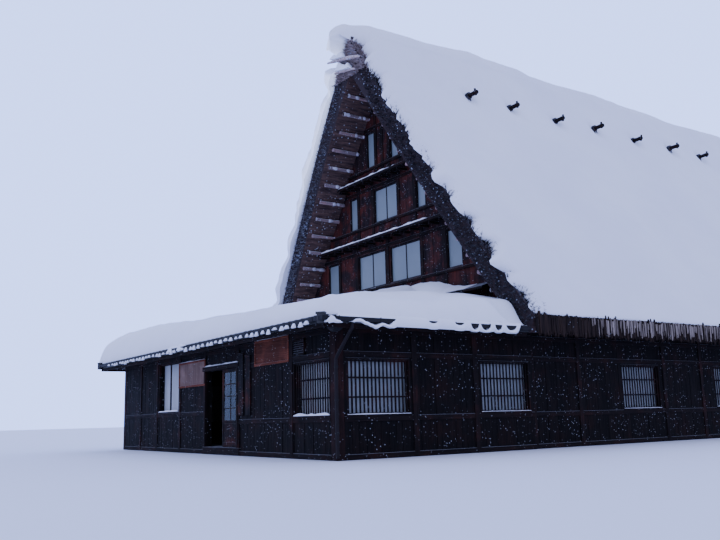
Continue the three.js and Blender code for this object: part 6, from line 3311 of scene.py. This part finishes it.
@dataclass
class Studio:
    """A plain pale floor and a plain pale soft light."""

    floor_size: float = 400.0
    floor_depths: Span = (-0.2, -0.004)
    floor_color: Rgb = (0.76, 0.77, 0.82)
    floor_roughness: float = 0.9
    sky_bright: Rgb = (1.24, 1.65, 3.63)
    sky_dim: Rgb = (0.80, 0.93, 1.68)
    sky_middle: Place = (-0.827, 0.562, 0.1)
    sky_reach: Span = (0.2, 0.85)
    sun_strength: float = 0.3
    sun_angle: float = 60.0
    sun_color: Rgb = (0.95, 0.97, 1.0)
    sun_turn: Place = (48.0, 0.0, 35.0)

    def build(self) -> None:
        """Builds the floor, the sky's light and one wide soft sun."""
        draft = Draft()
        half = self.floor_size / 2
        foot, top = self.floor_depths
        draft.box((-half, -half, foot), (half, half, top))
        floor = draft.piece("studio_floor")
        paint = bpy.data.materials.new("studio_floor_paint")
        paint.use_nodes = True
        shader = paint.node_tree.nodes["Principled BSDF"]
        shader.inputs["Base Color"].default_value = rgba(self.floor_color)
        shader.inputs["Roughness"].default_value = self.floor_roughness
        floor.data.materials.append(paint)
        world = bpy.data.worlds.new("studio_sky")
        world.use_nodes = True
        sketch = Sketch(world.node_tree)
        way = sketch.add("ShaderNodeTexCoord").outputs["Generated"]
        inputs = {0: way, 1: Vector(self.sky_middle).normalized()}
        near = sketch.value("ShaderNodeVectorMath", inputs, "Value", operation="DOT_PRODUCT")
        share = sketch.ramp(near, *self.sky_reach, smooth=True)
        color = sketch.mix(share, self.sky_dim, self.sky_bright)
        sketch.fill(world.node_tree.nodes["Background"], {"Color": color})
        bpy.context.scene.world = world
        light = bpy.data.lights.new("studio_sun", "SUN")
        light.energy = self.sun_strength
        light.angle = math.radians(self.sun_angle)
        light.color = self.sun_color
        sun = bpy.data.objects.new("studio_sun", light)
        sun.rotation_euler = [math.radians(turn) for turn in self.sun_turn]
        bpy.context.scene.collection.objects.link(sun)


@dataclass
class PhotoView:
    """The camera, where the photo was taken from."""

    place: Place = (20.84, -15.289, 0.882)
    yaw: float = 55.804
    pitch: float = 10.287
    roll: float = -1.467
    lens: float = 40.70
    sensor: float = 36.0

    def build(self) -> None:
        """Adds the camera and makes it the scene's."""
        yaw, pitch, roll = (math.radians(v) for v in (self.yaw, self.pitch, self.roll))
        ahead = Vector((-math.sin(yaw) * math.cos(pitch), math.cos(yaw) * math.cos(pitch), math.sin(pitch)))
        right = Vector((math.cos(yaw), math.sin(yaw), 0))
        up = right.cross(ahead)
        across = right * math.cos(roll) + up * math.sin(roll)
        rise = up * math.cos(roll) - right * math.sin(roll)
        turn = Matrix((across, rise, -ahead)).transposed().to_4x4()
        camera = bpy.data.objects.new("photo_view", bpy.data.cameras.new("photo_view"))
        camera.data.lens = self.lens
        camera.data.sensor_width = self.sensor
        camera.matrix_world = Matrix.Translation(self.place) @ turn
        bpy.context.scene.collection.objects.link(camera)
        bpy.context.scene.camera = camera


def paint_frame(shop: Workshop, nodes: Iterable[bpy.types.Object]) -> None:
    """Gives every node of the frame the finish of its kind.

    Args:
        shop: The finishes.
        nodes: The frame's nodes.
    """
    kinds = (
        ("gable_shoji", shop.paper),
        ("shoji_front_left", shop.entry_paper),
        ("shoji_front_right", shop.front_paper),
        ("shoji", shop.dim_paper),
        ("snow", shop.snow),
        ("gable_wall", shop.boards),
        ("annex_wall", shop.low_boards),
        ("long_wall", shop.low_boards),
        ("back_wall", shop.low_boards),
        ("annex_roof", shop.tiles),
        ("thatch", shop.thatch),
        ("ridge_cap", shop.thatch),
        ("sign_board", shop.sign),
        ("wall_panel", shop.panel),
        ("gutter", shop.metal),
        ("downpipe", shop.pipe),
        ("entrance_leaf", shop.door),
        ("corner_post", shop.corner_timber),
    )
    for node in nodes:
        finish = next((finish for part, finish in kinds if part in node.name), shop.beams_x)
        shop.paint_node(node, finish)


def main() -> None:
    """Builds the camera, the studio and every sub-assembly."""
    logging.basicConfig(level=logging.INFO, format="%(message)s", stream=sys.stdout)
    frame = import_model()
    PhotoView().build()
    shop = Workshop()
    paint_frame(shop, frame["nodes"].values())
    form = RoofForm.from_frame()
    log.info("roof and snow")
    RoofSnow(form).build(shop)
    Reeds(form).build(shop)
    SoffitPoles(form).build(shop)
    NeedlePoles().build(shop)
    log.info("gables")
    for end in End:
        Gable(form, end).build(shop)
    log.info("ground storey")
    low_walls().build(shop)
    LeanToRoof().build(shop)
    LeanToSnow().build(shop)
    log.info("entrance and boards")
    Entrance().build(shop)
    Boards().build(shop)
    Studio().build()


if __name__ == "__main__":
    main()
